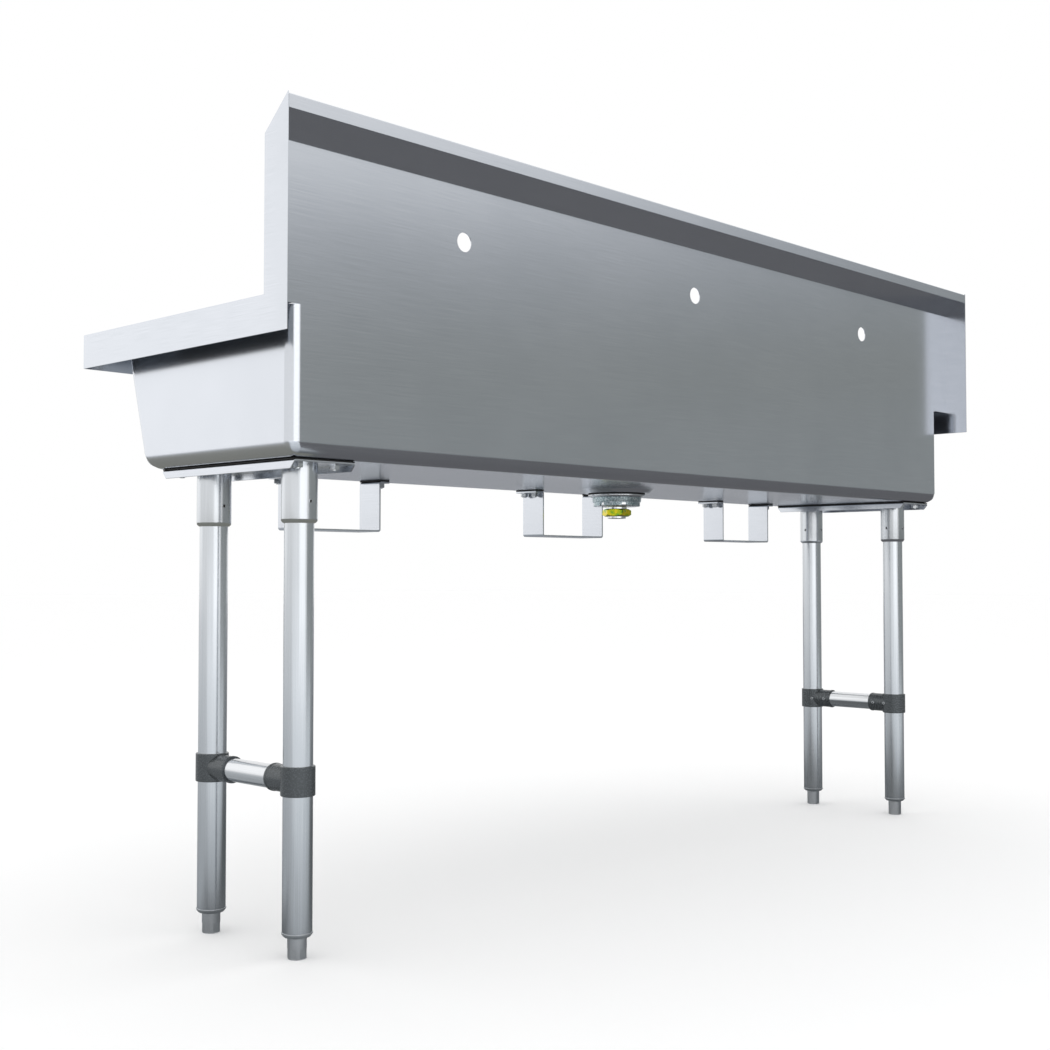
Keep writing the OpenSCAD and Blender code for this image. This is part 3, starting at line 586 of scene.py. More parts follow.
def make_deck():
    """Ledges round the bowl: a flat plate with a rolled lip into the bowl and an apron in front."""
    front = front_y(DECK_Z) + SHEET / math.cos(FRONT_LEAN)
    inner = BOWL_HALF - SHEET
    rear = deck_high.y
    outside = [(-INNER_HALF, rear), (-INNER_HALF, -HALF_DEPTH), (INNER_HALF, -HALF_DEPTH), (INNER_HALF, rear)]
    opening = [(inner, rear), (inner, front), (-inner, front), (-inner, rear)]
    obj = trace("deck_rim_sheet", [Vector((x, y, DECK_Z)) for x, y in outside + opening])
    bpy.ops.mesh.select_all(action="SELECT")
    bpy.ops.mesh.edge_face_add()
    choose(obj, "VERT", lambda p: near(p.y, front))
    corner_r = UPRIGHT_CORNER_R - SHEET
    bpy.ops.mesh.bevel(offset=corner_r, segments=BEND_STEPS, affect="VERTICES")
    past = 0.1 * MM

    def on_opening(p):
        return abs(p.x) < inner + past and front - past < p.y

    choose(obj, "EDGE", on_opening)
    extrude("EDGE", Vector((0, 0, -LIP_DEPTH)))
    choose(obj, "VERT", lambda p: p.z < DECK_Z - past and p.y < front + corner_r + past)
    bpy.ops.transform.translate(value=(0, LIP_DEPTH * math.tan(FRONT_LEAN), 0))
    choose(obj, "EDGE", lambda p: near(p.y, -HALF_DEPTH))
    extrude("EDGE", Vector((0, 0, APRON_Z - DECK_Z)))
    choose(obj, "EDGE", lambda p: near(p.y, -HALF_DEPTH) and near(p.z, DECK_Z))
    bpy.ops.mesh.bevel(offset=FOLD_R, segments=BEND_STEPS, affect="EDGES")
    choose(obj, "EDGE", lambda p: near(p.z, DECK_Z) and on_opening(p))
    bpy.ops.mesh.bevel(offset=LIP_R, segments=BEND_STEPS, affect="EDGES")
    thicken(obj, SHEET)
    return done(obj, sheet_lengthwise, ["deck_rim"])


def make_backsplash():
    """Upright panel, sloped top and rear hem from one sheet, with a tap hole at each station."""
    panel_low = DECK_Z - LIP_DEPTH
    section = eased(
        [
            (PANEL_FRONT, panel_low, 0),
            (PANEL_FRONT, SLOPE_Z, FOLD_R),
            (HALF_DEPTH, TOP_Z, SHARP_FOLD_R),
            (HALF_DEPTH, TOP_Z - REAR_HEM, 0),
        ]
    )
    start = Vector((-INNER_HALF, 0, 0))
    obj = folded("backsplash_sheet", section, start, Vector((2 * INNER_HALF, 0, 0)), SHEET, -1)
    reach = 10 * MM
    for place in STATIONS.values():
        hole = Vector((place * STATION_SPACING, PANEL_FRONT - reach / 2, DECK_Z + TAP_HEIGHT))
        cut_by(obj, rod("tap_hole_cutter", TAP_HOLE_R, hole, reach, "Y"))
    return done(obj, sheet_lengthwise, ["backsplash"])


def make_end_cap(side_name, side):
    """Flat plate that closes one end of the rim and of the backsplash."""
    x = side * HALF_LENGTH
    rear = [(-HALF_DEPTH, APRON_Z), (HALF_DEPTH, APRON_Z), (HALF_DEPTH, TOP_Z)]
    front = [(PANEL_FRONT, SLOPE_Z), (PANEL_FRONT, DECK_Z), (-HALF_DEPTH, DECK_Z)]
    name = f"end_cap_{side_name}_plate"
    obj = trace(name, [Vector((x, y, z)) for y, z in rear + front])
    bpy.ops.mesh.select_all(action="SELECT")
    bpy.ops.mesh.edge_face_add()
    extrude("FACE", Vector((-side * SHEET, 0, 0)))
    close_shell()
    ease_edges(obj)
    return done(obj, sheet_crosswise, [f"end_cap_{side_name}"])


make_basin()
make_deck()
make_backsplash()
for side_name, side in SIDES.items():
    make_end_cap(side_name, side)


# Drain


def make_strainer_body():
    """Strainer cup: a flange in the dish, a deep body, and a spigot for the coupling nut."""
    low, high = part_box("strainer_body")
    flange_r = (high.x - low.x) / 2
    past_locknut = 0.7 * MM
    body_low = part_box("drain_locknut")[0].z - past_locknut
    flange_low = high.z - STRAINER_WALL
    spigot_inner, body_inner = SPIGOT_R - STRAINER_WALL, STRAINER_R - STRAINER_WALL
    floor_z = body_low + STRAINER_WALL
    end_ease, neck_r, rim_r = 0.5 * MM, 1 * MM, 1.5 * MM
    outside_bend_r, inside_bend_r = 3 * MM, 2 * MM
    corners = [
        (spigot_inner, low.z, 0),
        (SPIGOT_R, low.z, end_ease),
        (SPIGOT_R, body_low, neck_r),
        (STRAINER_R, body_low, outside_bend_r),
        (STRAINER_R, flange_low, 0),
        (flange_r, flange_low, 0),
        (flange_r, high.z, rim_r),
        (body_inner, high.z, rim_r),
        (body_inner, floor_z, inside_bend_r),
        (spigot_inner, floor_z, neck_r),
    ]
    obj = lathe("strainer_body_pressing", corners, DRAIN_AXIS, 4)
    return done(obj, buffed_steel, ["strainer_body"])


def make_disc(name, node, inner_r, material, edge):
    """A flat ring with eased rims, such as a gasket."""
    low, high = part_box(node)
    outer_r = (high.x - low.x) / 2
    corners = [(inner_r, low.z, 0), (outer_r, low.z, edge), (outer_r, high.z, edge), (inner_r, high.z, 0)]
    obj = lathe(name, corners, upright_axis(node), 3)
    return done(obj, material, [node])


def make_friction_washer():
    """Zinc washer pressed with two stiffening rings, one stepped in under the other."""
    low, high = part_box("friction_washer")
    step_in, ease = 3.4 * MM, 0.7 * MM
    outer_r = (high.x - low.x) / 2
    lower_r = outer_r - step_in
    step_z = (low.z + high.z) / 2 - ease
    corners = [
        (THREAD_BORE_R, low.z, 0),
        (lower_r, low.z, ease),
        (lower_r, step_z, ease),
        (outer_r, step_z, ease),
        (outer_r, high.z, ease),
        (THREAD_BORE_R, high.z, 0),
    ]
    obj = lathe("friction_washer_pressing", corners, DRAIN_AXIS, 3)
    return done(obj, bright, ["friction_washer"])


def make_locknut():
    """Cast locknut: a plain rim above and six lugs below."""
    low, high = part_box("drain_locknut")
    lug_r, lug_h, rim_draft, ease = 42.3 * MM, 7.5 * MM, 1 * MM, 0.8 * MM
    rim_r, rim_low = (high.x - low.x) / 2, low.z + lug_h
    rim = [
        (THREAD_BORE_R, rim_low, 0),
        (rim_r - rim_draft, rim_low, ease),
        (rim_r, high.z, ease),
        (THREAD_BORE_R, high.z, 0),
    ]
    obj = lathe("drain_locknut_casting", rim, DRAIN_AXIS, 3)
    lug_ring = [
        (THREAD_BORE_R, low.z, 0),
        (lug_r, low.z, ease),
        (lug_r, rim_low + ease, 0),
        (THREAD_BORE_R, rim_low + ease, 0),
    ]
    lugs = lathe("locknut_lugs", lug_ring, DRAIN_AXIS, 3)
    count, gap, gap_under_rim, past = 6, 10.6 * MM, 1.6 * MM, 1 * MM
    gap_low = Vector((-gap / 2, -gap / 2, low.z - past))
    gap_high = Vector((gap / 2, gap / 2, rim_low - gap_under_rim))
    cut_round(lugs, count, 0, DRAIN_AXIS, lug_r, gap_low, gap_high)
    return done(joined("drain_locknut_casting", [obj, lugs]), zinc, ["drain_locknut"])


def make_coupling_nut():
    """Hexagon nut, its corners turned off at both faces, bored wide for the spigot above a lip."""
    low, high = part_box("coupling_nut")
    height = high.z - low.z
    corner_r = (high.x - low.x) / 2
    turn_off, face_r = 3.2 * MM, corner_r - 5.5 * MM
    obj = hexagon("coupling_nut_hexagon", corner_r, DRAIN_AXIS + AXES["Z"] * low.z, height)
    below = [(0, low.z), (face_r, low.z), (corner_r, low.z + turn_off)]
    above = [(corner_r, high.z - turn_off), (face_r, high.z), (0, high.z)]
    cut_by(obj, turned("turned_off_corners", below + above, DRAIN_AXIS), "INTERSECT")
    lip = 2 * MM
    passage_start = DRAIN_AXIS + AXES["Z"] * (low.z - lip)
    cut_by(obj, rod("tail_passage", TAIL_R, passage_start, height + 2 * lip))
    thread_start = DRAIN_AXIS + AXES["Z"] * (low.z + lip)
    cut_by(obj, rod("thread_bore", SPIGOT_R, thread_start, height))
    return done(obj, chromate, ["coupling_nut"])


def make_tailpiece():
    """Short tail tube with eased lower edges."""
    low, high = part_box("tailpiece")
    inner_r, ease = TAIL_R - TAIL_WALL, 0.5 * MM
    corners = [(inner_r, low.z, ease), (TAIL_R, low.z, ease), (TAIL_R, high.z, 0), (inner_r, high.z, 0)]
    obj = lathe("tailpiece_tube", corners, DRAIN_AXIS, 3)
    return done(obj, buffed_steel, ["tailpiece"])


make_strainer_body()
make_disc("drain_gasket_ring", "drain_gasket", THREAD_BORE_R, rubber, 0.8 * MM)
make_disc("coupling_washer_ring", "coupling_washer", 16 * MM, rubber, 0.4 * MM)
make_friction_washer()
make_locknut()
make_coupling_nut()
make_tailpiece()


# Legs, their channels, braces and feet


def make_channel(side_name):
    """Upturned channel: a plate with two flanges, whose ends slant."""
    node = f"leg_channel_{side_name}"
    low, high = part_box(node)
    width, slant = high.x - low.x, 8 * MM
    section = eased(
        [(0, low.z, 0), (0, high.z, FOLD_R), (width, high.z, FOLD_R), (width, low.z, 0)],
        steps=5,
    )
    points = [Vector((low.x + x, low.y, z)) for x, z in section]
    obj = drawn_out(f"{node}_folded", points, Vector((0, high.y - low.y, 0)))
    choose(obj, "VERT", lambda p: near(p.z, low.z) and near(p.y, low.y))
    bpy.ops.transform.translate(value=(0, slant, 0))
    choose(obj, "VERT", lambda p: near(p.z, low.z) and near(p.y, high.y))
    bpy.ops.transform.translate(value=(0, -slant, 0))
    thicken(obj, CHANNEL_T)
    ease_edges(obj)
    return done(obj, sheet_crosswise, [node])


def make_seal(side_name):
    """Black strip between a channel and the bowl, squeezed so that its edges bulge."""
    node = f"channel_seal_{side_name}"
    low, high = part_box(node)
    obj = block(f"{node}_strip", low, high)
    ease_edges(obj, 0.8 * MM, 3)
    return done(obj, rubber, [node])


def leg_nodes(kind):
    """Names of the four nodes of one kind at the legs."""
    return [f"{kind}_{side_name}_{depth}" for side_name in SIDES for depth in DEPTHS]


def at_each_leg(first, kind, suffix, material, moves=False):
    """Copies a piece made at the right rear leg to the other three, and finishes all four."""
    nodes = leg_nodes(kind)
    made = [first]
    for node in nodes[1:]:
        made.append(copy_by(first, f"{node}_{suffix}", middle(node) - middle(nodes[0])))
    for obj, node in zip(made, nodes):
        done(obj, material, [node], body=node if moves else "sink")


def make_sockets():
    """Cups under the channels whose lower rims curve in to the legs."""
    node = "leg_socket_right_rear"
    low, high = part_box(node)
    outer_r, round_r = (high.x - low.x) / 2, 6 * MM
    stop = math.degrees(math.acos((LEG_BORE_R - outer_r + round_r) / round_r))
    rim = arc(outer_r - round_r, low.z + round_r, round_r, -stop, 0)
    outline = rim + [(outer_r, high.z), (LEG_BORE_R, high.z)]
    first = turned(f"{node}_cup", ring(outline), upright_axis(node))
    at_each_leg(first, "leg_socket", "cup", tube_upright)


def make_legs():
    """Leg tubes with eased ends."""
    node = "leg_right_rear"
    low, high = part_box(node)
    outer_r, ease = (high.x - low.x) / 2, 0.3 * MM
    inner_r = outer_r - TUBE_WALL
    corners = [(inner_r, low.z, 0), (outer_r, low.z, ease), (outer_r, high.z, ease), (inner_r, high.z, 0)]
    first = lathe(f"{node}_tube", corners, upright_axis(node), 2)
    at_each_leg(first, "leg", "tube", tube_upright)


def make_bushings():
    """Plugs in the feet of the legs, with a rounded, slightly wider rim."""
    node = "foot_bushing_right_rear"
    low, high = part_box(node)
    rim_r, rim_h, rim_round_r, rim_ease = (high.x - low.x) / 2, 6.5 * MM, 3 * MM, 0.4 * MM
    nose_r, nose_h, bore_r, plug_r = 17.9 * MM, 4.4 * MM, 6.65 * MM, 18.9 * MM
    top = low.z + rim_h
    corners = [
        (bore_r, low.z, 0),
        (nose_r, low.z, rim_round_r),
        (rim_r, low.z + nose_h, rim_round_r),
        (rim_r, top, rim_ease),
        (plug_r, top, 0),
        (plug_r, high.z, 0),
        (bore_r, high.z, 0),
    ]
    first = lathe(f"{node}_plug", corners, upright_axis(node), 4)
    at_each_leg(first, "foot_bushing", "plug", turned_steel)


def make_feet():
    """Bullet feet: a round body with six wrench flats, on a thread that runs up into the bushing."""
    node = "foot_right_rear"
    low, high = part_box(node)
    centre = upright_axis(node)
    body_r, thread_r = (high.x - low.x) / 2, 6.35 * MM
    shoulder_z = low.z + 29.2 * MM
    flats, flats_h, flats_width = 6, 14.5 * MM, 25 * MM
    tip_ease, ease, past = 1.6 * MM, 1 * MM, 1 * MM
    corners = [
        (0, low.z, 0),
        (body_r, low.z, tip_ease),
        (body_r, shoulder_z, ease),
        (thread_r, shoulder_z, 0),
        (thread_r, high.z, ease),
        (0, high.z, 0),
    ]
    first = turned(f"{node}_bullet", eased(corners, 4), centre)
    flat_low = Vector((0, -body_r, low.z - past))
    flat_high = Vector((body_r, body_r, low.z + flats_h))
    cut_round(first, flats, math.pi / flats, centre, flats_width / 2, flat_low, flat_high)
    at_each_leg(first, "foot", "bullet", turned_steel, moves=True)


def make_clamps():
    """Charcoal tees: a collar round the leg and an arm that takes the brace tube."""
    low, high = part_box("brace_clamp_right_front")
    leg = middle("leg_right_front")
    centre = Vector((leg.x, leg.y, 0))
    mid = Vector((leg.x, leg.y, (low.z + high.z) / 2))
    height, rim = high.z - low.z, 1.1 * MM
    collar = [(0, low.z, 0), (COLLAR_R, low.z, rim), (COLLAR_R, high.z, rim), (0, high.z, 0)]
    obj = turned("brace_clamp_right_front_tee", eased(collar, steps=3), centre)
    bead_h, bead_length, bead_rise, ease = 0.6 * MM, 3.6 * MM, 1.2 * MM, 0.6 * MM
    bead_r, neck = ARM_R + bead_h, ARM_REACH - bead_length
    arm = [(0, 0, 0), (ARM_R, 0, 0), (ARM_R, neck - bead_rise, ease)]
    bead = [(bead_r, neck, ease), (bead_r, ARM_REACH, ease), (0, ARM_REACH, 0)]
    cut_by(obj, turned("clamp_arm", eased(arm + bead, steps=3), mid, "Y"), "UNION")
    cut_by(obj, rod("leg_bore", LEG_BORE_R, mid - AXES["Z"] * height, 2 * height))
    cut_by(obj, rod("brace_bore", BRACE_BORE_R, mid, 2 * ARM_REACH, "Y"))
    to_rear = middle("leg_right_rear") - leg
    to_left = middle("leg_left_front") - leg
    rear = copy_by(obj, "brace_clamp_right_rear_tee", to_rear)
    bpy.ops.transform.rotate(value=math.pi, orient_axis="Z", center_override=centre + to_rear)
    apply_place(rear)
    left_front = copy_by(obj, "brace_clamp_left_front_tee", to_left)
    left_rear = copy_by(rear, "brace_clamp_left_rear_tee", to_left)
    for piece in (obj, rear, left_front, left_rear):
        done(piece, charcoal, [piece.name.removesuffix("_tee")])


def make_brace_tubes():
    """Tubes from clamp to clamp, one at each end of the sink."""
    low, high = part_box("brace_tube_right")
    centre = middle("brace_tube_right")
    centre.y = 0
    outer_r = (high.x - low.x) / 2
    inner_r = outer_r - TUBE_WALL
    outline = [(inner_r, low.y), (outer_r, low.y), (outer_r, high.y), (inner_r, high.y)]
    right = turned("brace_tube_right_drawn", ring(outline), centre, "Y")
    to_left = middle("brace_tube_left") - middle("brace_tube_right")
    left = copy_by(right, "brace_tube_left_drawn", to_left)
    done(right, tube_brace, ["brace_tube_right"])
    done(left, tube_brace, ["brace_tube_left"])


for side_name in SIDES:
    make_channel(side_name)
    make_seal(side_name)
make_sockets()
make_legs()
make_bushings()
make_feet()
make_clamps()
make_brace_tubes()


# Knee brackets


def make_knee_brackets():
    """Straps folded into a U, with a foot at the top of each leg."""
    low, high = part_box("knee_bracket_centre")
    fold_out, fold_in = 4.5 * MM, 1.5 * MM
    half = high.x - STRAP_FOOT
    foot_z = high.z - STRAP_T
    section = eased(
        [
            (-high.x, foot_z, 0),
            (-half, foot_z, fold_in),
            (-half, low.z, fold_out),
            (half, low.z, fold_out),
            (half, foot_z, fold_in),
            (high.x, foot_z, 0),
        ],
        steps=6,
    )
    start = Vector((0, low.y, 0))
    width = Vector((0, high.y - low.y, 0))
    centre = folded("knee_bracket_centre_strap", section, start, width, STRAP_T, 1)
    ease_edges(centre)
    made = {"centre": centre}
    for name, place in STATIONS.items():
        if name != "centre":
            step = Vector((place * STATION_SPACING, 0, 0))
            made[name] = copy_by(centre, f"knee_bracket_{name}_strap", step)
    for name, obj in made.items():
        done(obj, sheet_crosswise, [f"knee_bracket_{name}"])


def strap_foot_places(width):
    """Middles of strips of a width under the six strap feet's ends, at the bowl's underside."""
    low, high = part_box("knee_bracket_centre")
    foot_x = high.x - width / 2
    depth = (low.y + high.y) / 2
    return [
        Vector((place * STATION_SPACING + hand * foot_x, depth, BOWL_UNDER))
        for place in STATIONS.values()
        for hand in SIDES.values()
    ]


def make_bracket_pads():
    """A black pad above each strap foot, as wide as the foot and the strap's thickness."""
    width, thick = STRAP_FOOT + STRAP_T, 2 * MM
    low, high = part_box("knee_bracket_centre")
    half = Vector((width / 2, (high.y - low.y) / 2, 0))
    pads = []
    for place in strap_foot_places(width):
        pad = block("pad", place - half - AXES["Z"] * thick, place + half)
        ease_edges(pad, 0.6 * MM, 2)
        pads.append(pad)
    done(joined("bracket_pads_rubber", pads), rubber, ["bracket_pads"])


# Fasteners


def stud_places():
    """Places of the bracket studs and of the channel studs, at the bowl's underside."""
    pair = 25.4 * MM
    bracket = []
    for place in strap_foot_places(STRAP_FOOT):
        for offset in (-pair / 2, pair / 2):
            bracket.append(place + Vector((0, offset, 0)))
    row, end = 62 * MM, 19 * MM
    channel = []
    for side_name in SIDES:
        low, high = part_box(f"leg_channel_{side_name}")
        mid_x = (low.x + high.x) / 2
        for x in (mid_x - row / 2, mid_x + row / 2):
            for y in (low.y + end, high.y - end):
                channel.append(Vector((x, y, BOWL_UNDER)))
    return {"bracket": bracket, "channel": channel}


def make_studs_and_nuts():
    """Welded studs, each with a hexagon nut whose corners are chamfered."""
    nut_r, stud_r, chamfer = 12.7 * MM / math.sqrt(3), 3.97 * MM, 1 * MM
    for kind, places in stud_places().items():
        nut_low, nut_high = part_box(f"{kind}_nuts")
        stud_low, stud_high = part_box(f"{kind}_studs")
        first = places[0]
        nut_start = Vector((first.x, first.y, nut_low.z))
        nut = hexagon(f"{kind}_nut", nut_r, nut_start, nut_high.z - nut_low.z)
        face_r = nut_r - 1.2 * chamfer
        lower = [(0, nut_low.z), (face_r, nut_low.z), (nut_r, nut_low.z + chamfer)]
        outline = lower + [(nut_r, nut_high.z), (0, nut_high.z)]
        limit = turned("nut_chamfer", outline, Vector((first.x, first.y, 0)), steps=SMALL_STEPS)
        cut_by(nut, limit, "INTERSECT")
        stud_start = Vector((first.x, first.y, stud_low.z))
        stud = rod(f"{kind}_stud", stud_r, stud_start, stud_high.z - stud_low.z, "Z", SMALL_STEPS)
        ease_edges(stud, 0.7 * MM, 2)
        nuts = [nut] + [copy_by(nut, "nut", place - first) for place in places[1:]]
        studs = [stud] + [copy_by(stud, "stud", place - first) for place in places[1:]]
        done(joined(f"{kind}_nuts_hexagon", nuts), bright, [f"{kind}_nuts"])
        done(joined(f"{kind}_studs_welded", studs), bright, [f"{kind}_studs"])


def set_screw(tip, out):
    """A set screw with a deep socket, whose outer end is at a tip and faces out along an axis."""
    length, socket_deep, ease, socket_ease = 4.5 * MM, 3.2 * MM, 0.5 * MM, 0.2 * MM
    shank = [(0, -length, 0), (SCREW_R, -length, 0), (SCREW_R, 0, ease)]
    socket = [(SCREW_SOCKET_R, 0, socket_ease), (SCREW_SOCKET_R, -socket_deep, 0), (0, -socket_deep, 0)]
    axis = "X" if abs(out.x) > 0 else "Y"
    way = out.x + out.y
    outline = [(r, way * along) for r, along in eased(shank + socket, steps=3)]
    return turned("set_screw", outline, tip, axis, SMALL_STEPS)


def socket_shade_disc(tip, out):
    """A dark disc of painted shade in the socket, a little under a set screw's outer end."""
    thick, under = 0.4 * MM, 0.5 * MM
    axis = "X" if abs(out.x) > 0 else "Y"
    way = out.x + out.y
    start = tip - out * (under + thick if way > 0 else under)
    return rod("socket_shade_disc", SCREW_SOCKET_R, start, thick, axis, SMALL_STEPS)


def towards_middle(place):
    """The way along the sink from a leg to the sink's middle."""
    return Vector((-1 if place.x > 0 else 1, 0, 0))


def make_socket_screws():
    """Two set screws in each leg socket: one faces the wall, one the middle of the sink."""
    low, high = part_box("leg_socket_right_rear")
    reach, up_the_cup = (high.x - low.x) / 2 + SCREW_PROUD, 29.8 * MM
    height = low.z + up_the_cup
    screws, sockets = [], []
    for node in leg_nodes("leg"):
        leg = middle(node)
        leg.z = height
        for out in (AXES["Y"], towards_middle(leg)):
            screws.append(set_screw(leg + out * reach, out))
            # Each socket also gets a dark disc of painted shade at its bottom
            sockets.append(socket_shade_disc(leg + out * reach, out))
    done(joined("socket_screws_set", screws), bright, ["socket_screws"])
    done(joined("socket_screws_painted_shade", sockets), socket_shade, ["socket_screws"])


def make_clamp_screws():
    """Two set screws in each clamp, on the side that faces the middle of the sink."""
    height = middle("brace_clamp_right_rear").z
    collar_share, arm_share = 0.23, 0.77
    collar_y = ARM_REACH * collar_share
    collar_x = math.sqrt(COLLAR_R**2 - (collar_y - SCREW_R) ** 2) + SCREW_PROUD
    screws = []
    for node in leg_nodes("leg"):
        leg = middle(node)
        leg.z = height
        out = towards_middle(leg)
        along = Vector((0, -1 if node.endswith("rear") else 1, 0))
        screws.append(set_screw(leg + along * collar_y + out * collar_x, out))
        screws.append(set_screw(leg + along * ARM_REACH * arm_share + out * (ARM_R + SCREW_PROUD), out))
    done(joined("clamp_screws_set", screws), bright, ["clamp_screws"])


make_knee_brackets()
make_bracket_pads()
make_studs_and_nuts()
make_socket_screws()
make_clamp_screws()

# The strainer basket keeps its solids
BASKET = {"basket_cup": buffed_steel, "basket_knob": buffed_steel, "basket_stopper": rubber}
for node, material in BASKET.items():
    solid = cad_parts[node]
    solid.data.materials.clear()
    solid.data.materials.append(material)
    only(solid)
    bpy.ops.object.shade_smooth_by_angle(angle=SMOOTH_UNDER)


# Stage, light and camera


# Height of the glowing cards of painted shade under the bowl: a real edge, the sockets' lower rim, hides
# where they start
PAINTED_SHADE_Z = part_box("leg_socket_right_rear")[0].z


def make_floor():
    """Plain matt white paper floor, which keeps the sink's soft shadow."""
    material = bpy.data.materials.new("white_paper_floor")
    material.use_nodes = True
    shader = material.node_tree.nodes["Principled BSDF"]
    shader.inputs["Base Color"].default_value = linear("#FFFFFF")
    shader.inputs["Roughness"].default_value = 0.9
    shader.inputs["Specular IOR Level"].default_value = 0.1
    bpy.ops.object.select_all(action="DESELECT")
    bpy.ops.mesh.primitive_plane_add(size=60, location=(0, 0, 0))
    floor = bpy.context.object
    floor.name = "stage_floor"
    floor.data.materials.append(material)


def seen_in_metal_only(obj):
    """A card that shows in the metal's reflections alone, out of the picture and the light."""
    for ray in ("camera", "diffuse", "shadow", "transmission", "volume_scatter"):
        setattr(obj, f"visible_{ray}", False)


def painted_reflection_glow(name, tones_of, one_sided=False):
    """Glowing card, no lamp, with a painted fade of tones: painted reflection and shade in the metal; a
    one-sided card can't be seen from behind.
    """
    material = bpy.data.materials.new(name)
    material.use_nodes = True
    tree = material.node_tree
    tree.nodes.clear()
    place = add(tree, "ShaderNodeTexCoord").outputs["Object"]
    glow = add(tree, "ShaderNodeEmission", {"Color": tones_of(tree, place), "Strength": 1.0})
    surface = glow.outputs["Emission"]
    if one_sided:
        behind = add(tree, "ShaderNodeNewGeometry").outputs["Backfacing"]
        clear = add(tree, "ShaderNodeBsdfTransparent").outputs["BSDF"]
        surface = add(tree, "ShaderNodeMixShader", {0: behind, 1: surface, 2: clear}).outputs["Shader"]
    add(tree, "ShaderNodeOutputMaterial", {"Surface": surface})
    return material


def level_painted_reflection(name, along, across, height, tones_of):
    """A level glowing card of painted reflection and shade over a span along the sink and a span across it,
    at a height.
    """
    bpy.ops.object.select_all(action="DESELECT")
    bpy.ops.mesh.primitive_plane_add(size=1, location=(0, 0, 0))
    card = bpy.context.object
    card.name = name
    card.dimensions = (along[1] - along[0], across[1] - across[0], 0)
    card.location = (sum(along) / 2, sum(across) / 2, height)
    apply_place(card)
    card.data.materials.append(painted_reflection_glow(f"{name}_print", tones_of, one_sided=True))
    seen_in_metal_only(card)


FLOOR_REACH = 20.0


def rings(tree, place, tones):
    """Tones in rings round the sink's middle, each at its share of the floor's reach."""
    reach = (FLOOR_REACH, FLOOR_REACH, 1)
    far = add(tree, "ShaderNodeVectorMath", {0: place, 1: reach}, operation="DIVIDE")
    outwards = add(tree, "ShaderNodeVectorMath", {0: far.outputs["Vector"]}, operation="LENGTH")
    return tone_ramp(tree, outwards.outputs["Value"], tones)


def make_floor_painted_reflection():
    """Glowing card on the floor, seen in the metal alone: painted reflection and shade low on the legs.

    It has painted shade round the feet, painted light on the wall side, and a dark wedge of painted shade
    that starts between the legs and widens to the left: the dark right-hand edge of every tube.
    """
    # Painted shade round the feet, fading to lighter tones farther off
    painted_shade_near_feet = [(0.0, "#8C9091"), (0.02, "#989C9E"), (0.045, "#AAAEB1")]
    farther = [(0.09, "#BEC2C5"), (0.2, "#D4D7DA"), (0.5, "#E6E8EA")]
    painted_shade_wedge_slope = 0.466

    def tones_of(tree, place):
        tone = rings(tree, place, painted_shade_near_feet + farther)
        split = add(tree, "ShaderNodeSeparateXYZ", {"Vector": place})
        aside = add(tree, "ShaderNodeMath", {0: split.outputs["Y"]}, operation="ABSOLUTE")
        slant = {0: split.outputs["X"], 1: painted_shade_wedge_slope, 2: aside.outputs["Value"]}
        slanted = add(tree, "ShaderNodeMath", slant, operation="MULTIPLY_ADD")
        # Painted light on the wall side, and a wedge of painted shade for the tubes' dark right-hand edges
        painted_light_wall_side = {"From Min": 0.15, "From Max": 1.0, "To Min": 1.0, "To Max": 1.55}
        wedge = {"From Min": 0.45, "From Max": 0.7, "To Min": 0.42, "To Max": 1.0}
        for value, span in ((split.outputs["Y"], painted_light_wall_side), (slanted.outputs["Value"], wedge)):
            gain = add(tree, "ShaderNodeMapRange", {"Value": value, **span}).outputs["Result"]
            lit = add(tree, "ShaderNodeVectorMath", {0: tone, "Scale": gain}, operation="SCALE")
            tone = lit.outputs["Vector"]
        return tone

    floor = (-FLOOR_REACH, FLOOR_REACH)
    level_painted_reflection("floor_painted_reflection", floor, floor, 1 * MM, tones_of)


def make_under_painted_shade():
    """Glowing card on the floor far in front of the sink: painted shade that the bowl's underside reflects.
    """

    def tones_of(tree, place):
        # Painted shade for the bowl's underside, darker farther out
        return rings(tree, place, [(0.5, "#9EA0A5"), (0.72, "#84888C")])

    level_painted_reflection("under_painted_shade", (-FLOOR_REACH, -1), (-FLOOR_REACH, -1.7), 2 * MM, tones_of)


def make_bend_painted_shade():
    """Dark glowing card just under the bowl, on the wall side: painted shade that the rear bend and the slope
    reflect.
    """

    def tones_of(tree, place):
        # One flat tone of painted shade
        tone = add(tree, "ShaderNodeRGB").outputs["Color"]
        tone.default_value = linear("#69696B")
        return tone

    level_painted_reflection("bend_painted_shade", (-2.4, 0.75), (0.05, 1.3), PAINTED_SHADE_Z, tones_of)


def make_end_painted_shade():
    """Glowing card just under the bowl, past its right-hand end, with painted shade close by: the painted
    fade of shade on the end bend.
    """
    reach = 1.9

    def tones_of(tree, place):
        split = add(tree, "ShaderNodeSeparateXYZ", {"Vector": place})
        outwards = add(tree, "ShaderNodeMath", {0: split.outputs["X"], 1: reach}, operation="DIVIDE")
        # Painted shade close to the bowl, fading to lighter tones farther out
        tones = [(0.42, "#86867F"), (0.53, "#94948E"), (0.83, "#DADCDE")]
        return tone_ramp(tree, outwards.outputs["Value"], tones)

    level_painted_reflection("end_painted_shade", (0.76, reach), (-1.2, 0.2), PAINTED_SHADE_Z, tones_of)


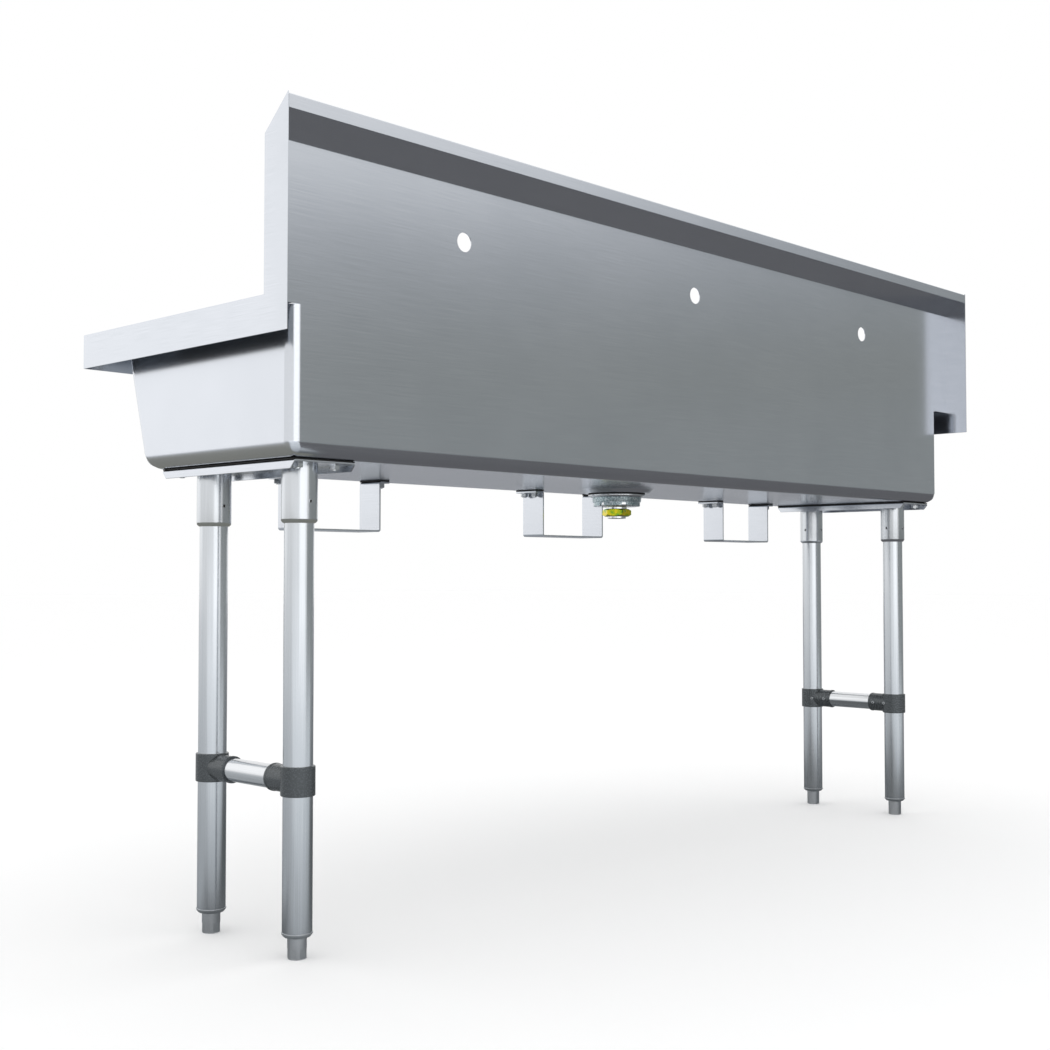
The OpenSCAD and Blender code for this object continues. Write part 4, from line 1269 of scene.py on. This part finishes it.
def make_side_painted_reflection():
    """Curved glowing card on the wall side, with painted shade below and painted light above: the painted
    reflection on the back panel.
    """
    reach, high = 4.0, 3.0
    first, last, steps = 102, 188, 32
    # Painted shade low down and painted light high up, which the back panel reflects
    lower = [(0.0, "#9A9E9E"), (0.38, "#969A99"), (0.48, "#949794"), (0.56, "#9CA0A0")]
    upper = [(0.68, "#B8BBBE"), (0.78, "#F0F2F4"), (0.84, "#FFFFFF")]

    def tones_of(tree, place):
        split = add(tree, "ShaderNodeSeparateXYZ", {"Vector": place})
        upwards = add(tree, "ShaderNodeMath", {0: split.outputs["Z"], 1: high}, operation="DIVIDE")
        return tone_ramp(tree, upwards.outputs["Value"], lower + upper)

    points = []
    for i in range(steps + 1):
        turn = math.radians(first + (last - first) * i / steps)
        points.append(Vector((reach * math.cos(turn), reach * math.sin(turn), 0)))
    card = drawn_out("stage_side_painted_reflection", points, Vector((0, 0, high)))
    bpy.ops.object.mode_set(mode="OBJECT")
    card.data.materials.append(painted_reflection_glow("side_painted_reflection_glow", tones_of))
    seen_in_metal_only(card)


def make_softbox(name, azimuth, elevation, distance, width, height, radiance):
    """A soft area lamp that faces the middle of the sink."""
    aim = Vector((0, 0, 0.7))
    turn, rise = math.radians(azimuth), math.radians(elevation)
    out = Vector((math.cos(turn) * math.cos(rise), math.sin(turn) * math.cos(rise), math.sin(rise)))
    lamp = bpy.data.lights.new(name, "AREA")
    lamp.shape = "RECTANGLE"
    lamp.size = width
    lamp.size_y = height
    lamp.energy = radiance * math.pi * width * height
    obj = bpy.data.objects.new(name, lamp)
    bpy.context.scene.collection.objects.link(obj)
    obj.location = aim + out * distance
    obj.rotation_euler = out.to_track_quat("Z", "Y").to_euler()


def make_world():
    """Plain white surroundings at a strength at which white is white."""
    world = bpy.data.worlds.new("white_studio")
    bpy.context.scene.world = world
    world.use_nodes = True
    ground = world.node_tree.nodes["Background"]
    ground.inputs["Color"].default_value = linear("#FFFFFF")
    ground.inputs["Strength"].default_value = 1.0


def make_camera():
    """Camera low behind the right-hand rear corner, as in the photograph."""
    camera = bpy.data.objects.new("camera", bpy.data.cameras.new("camera"))
    bpy.context.scene.collection.objects.link(camera)
    camera.location = Vector((1.992, 1.7082, 0.5227))
    forward = Vector((-0.7202, -0.6929, 0.0338))
    camera.rotation_euler = forward.to_track_quat("-Z", "Y").to_euler()
    camera.data.sensor_width = 36
    camera.data.lens = 48.72
    bpy.context.scene.camera = camera


make_floor()
make_floor_painted_reflection()
make_under_painted_shade()
make_bend_painted_shade()
make_end_painted_shade()
make_side_painted_reflection()
make_softbox("softbox_wall_side", 68, 12, 3.6, 3.0, 2.4, 0.5)
make_softbox("softbox_front_side", -58, 14, 3.8, 2.6, 2.2, 0.22)
make_softbox("softbox_overhead", 0, 90, 2.6, 3.6, 3.0, 0.24)
make_world()
make_camera()
bpy.context.scene.view_settings.view_transform = "Standard"
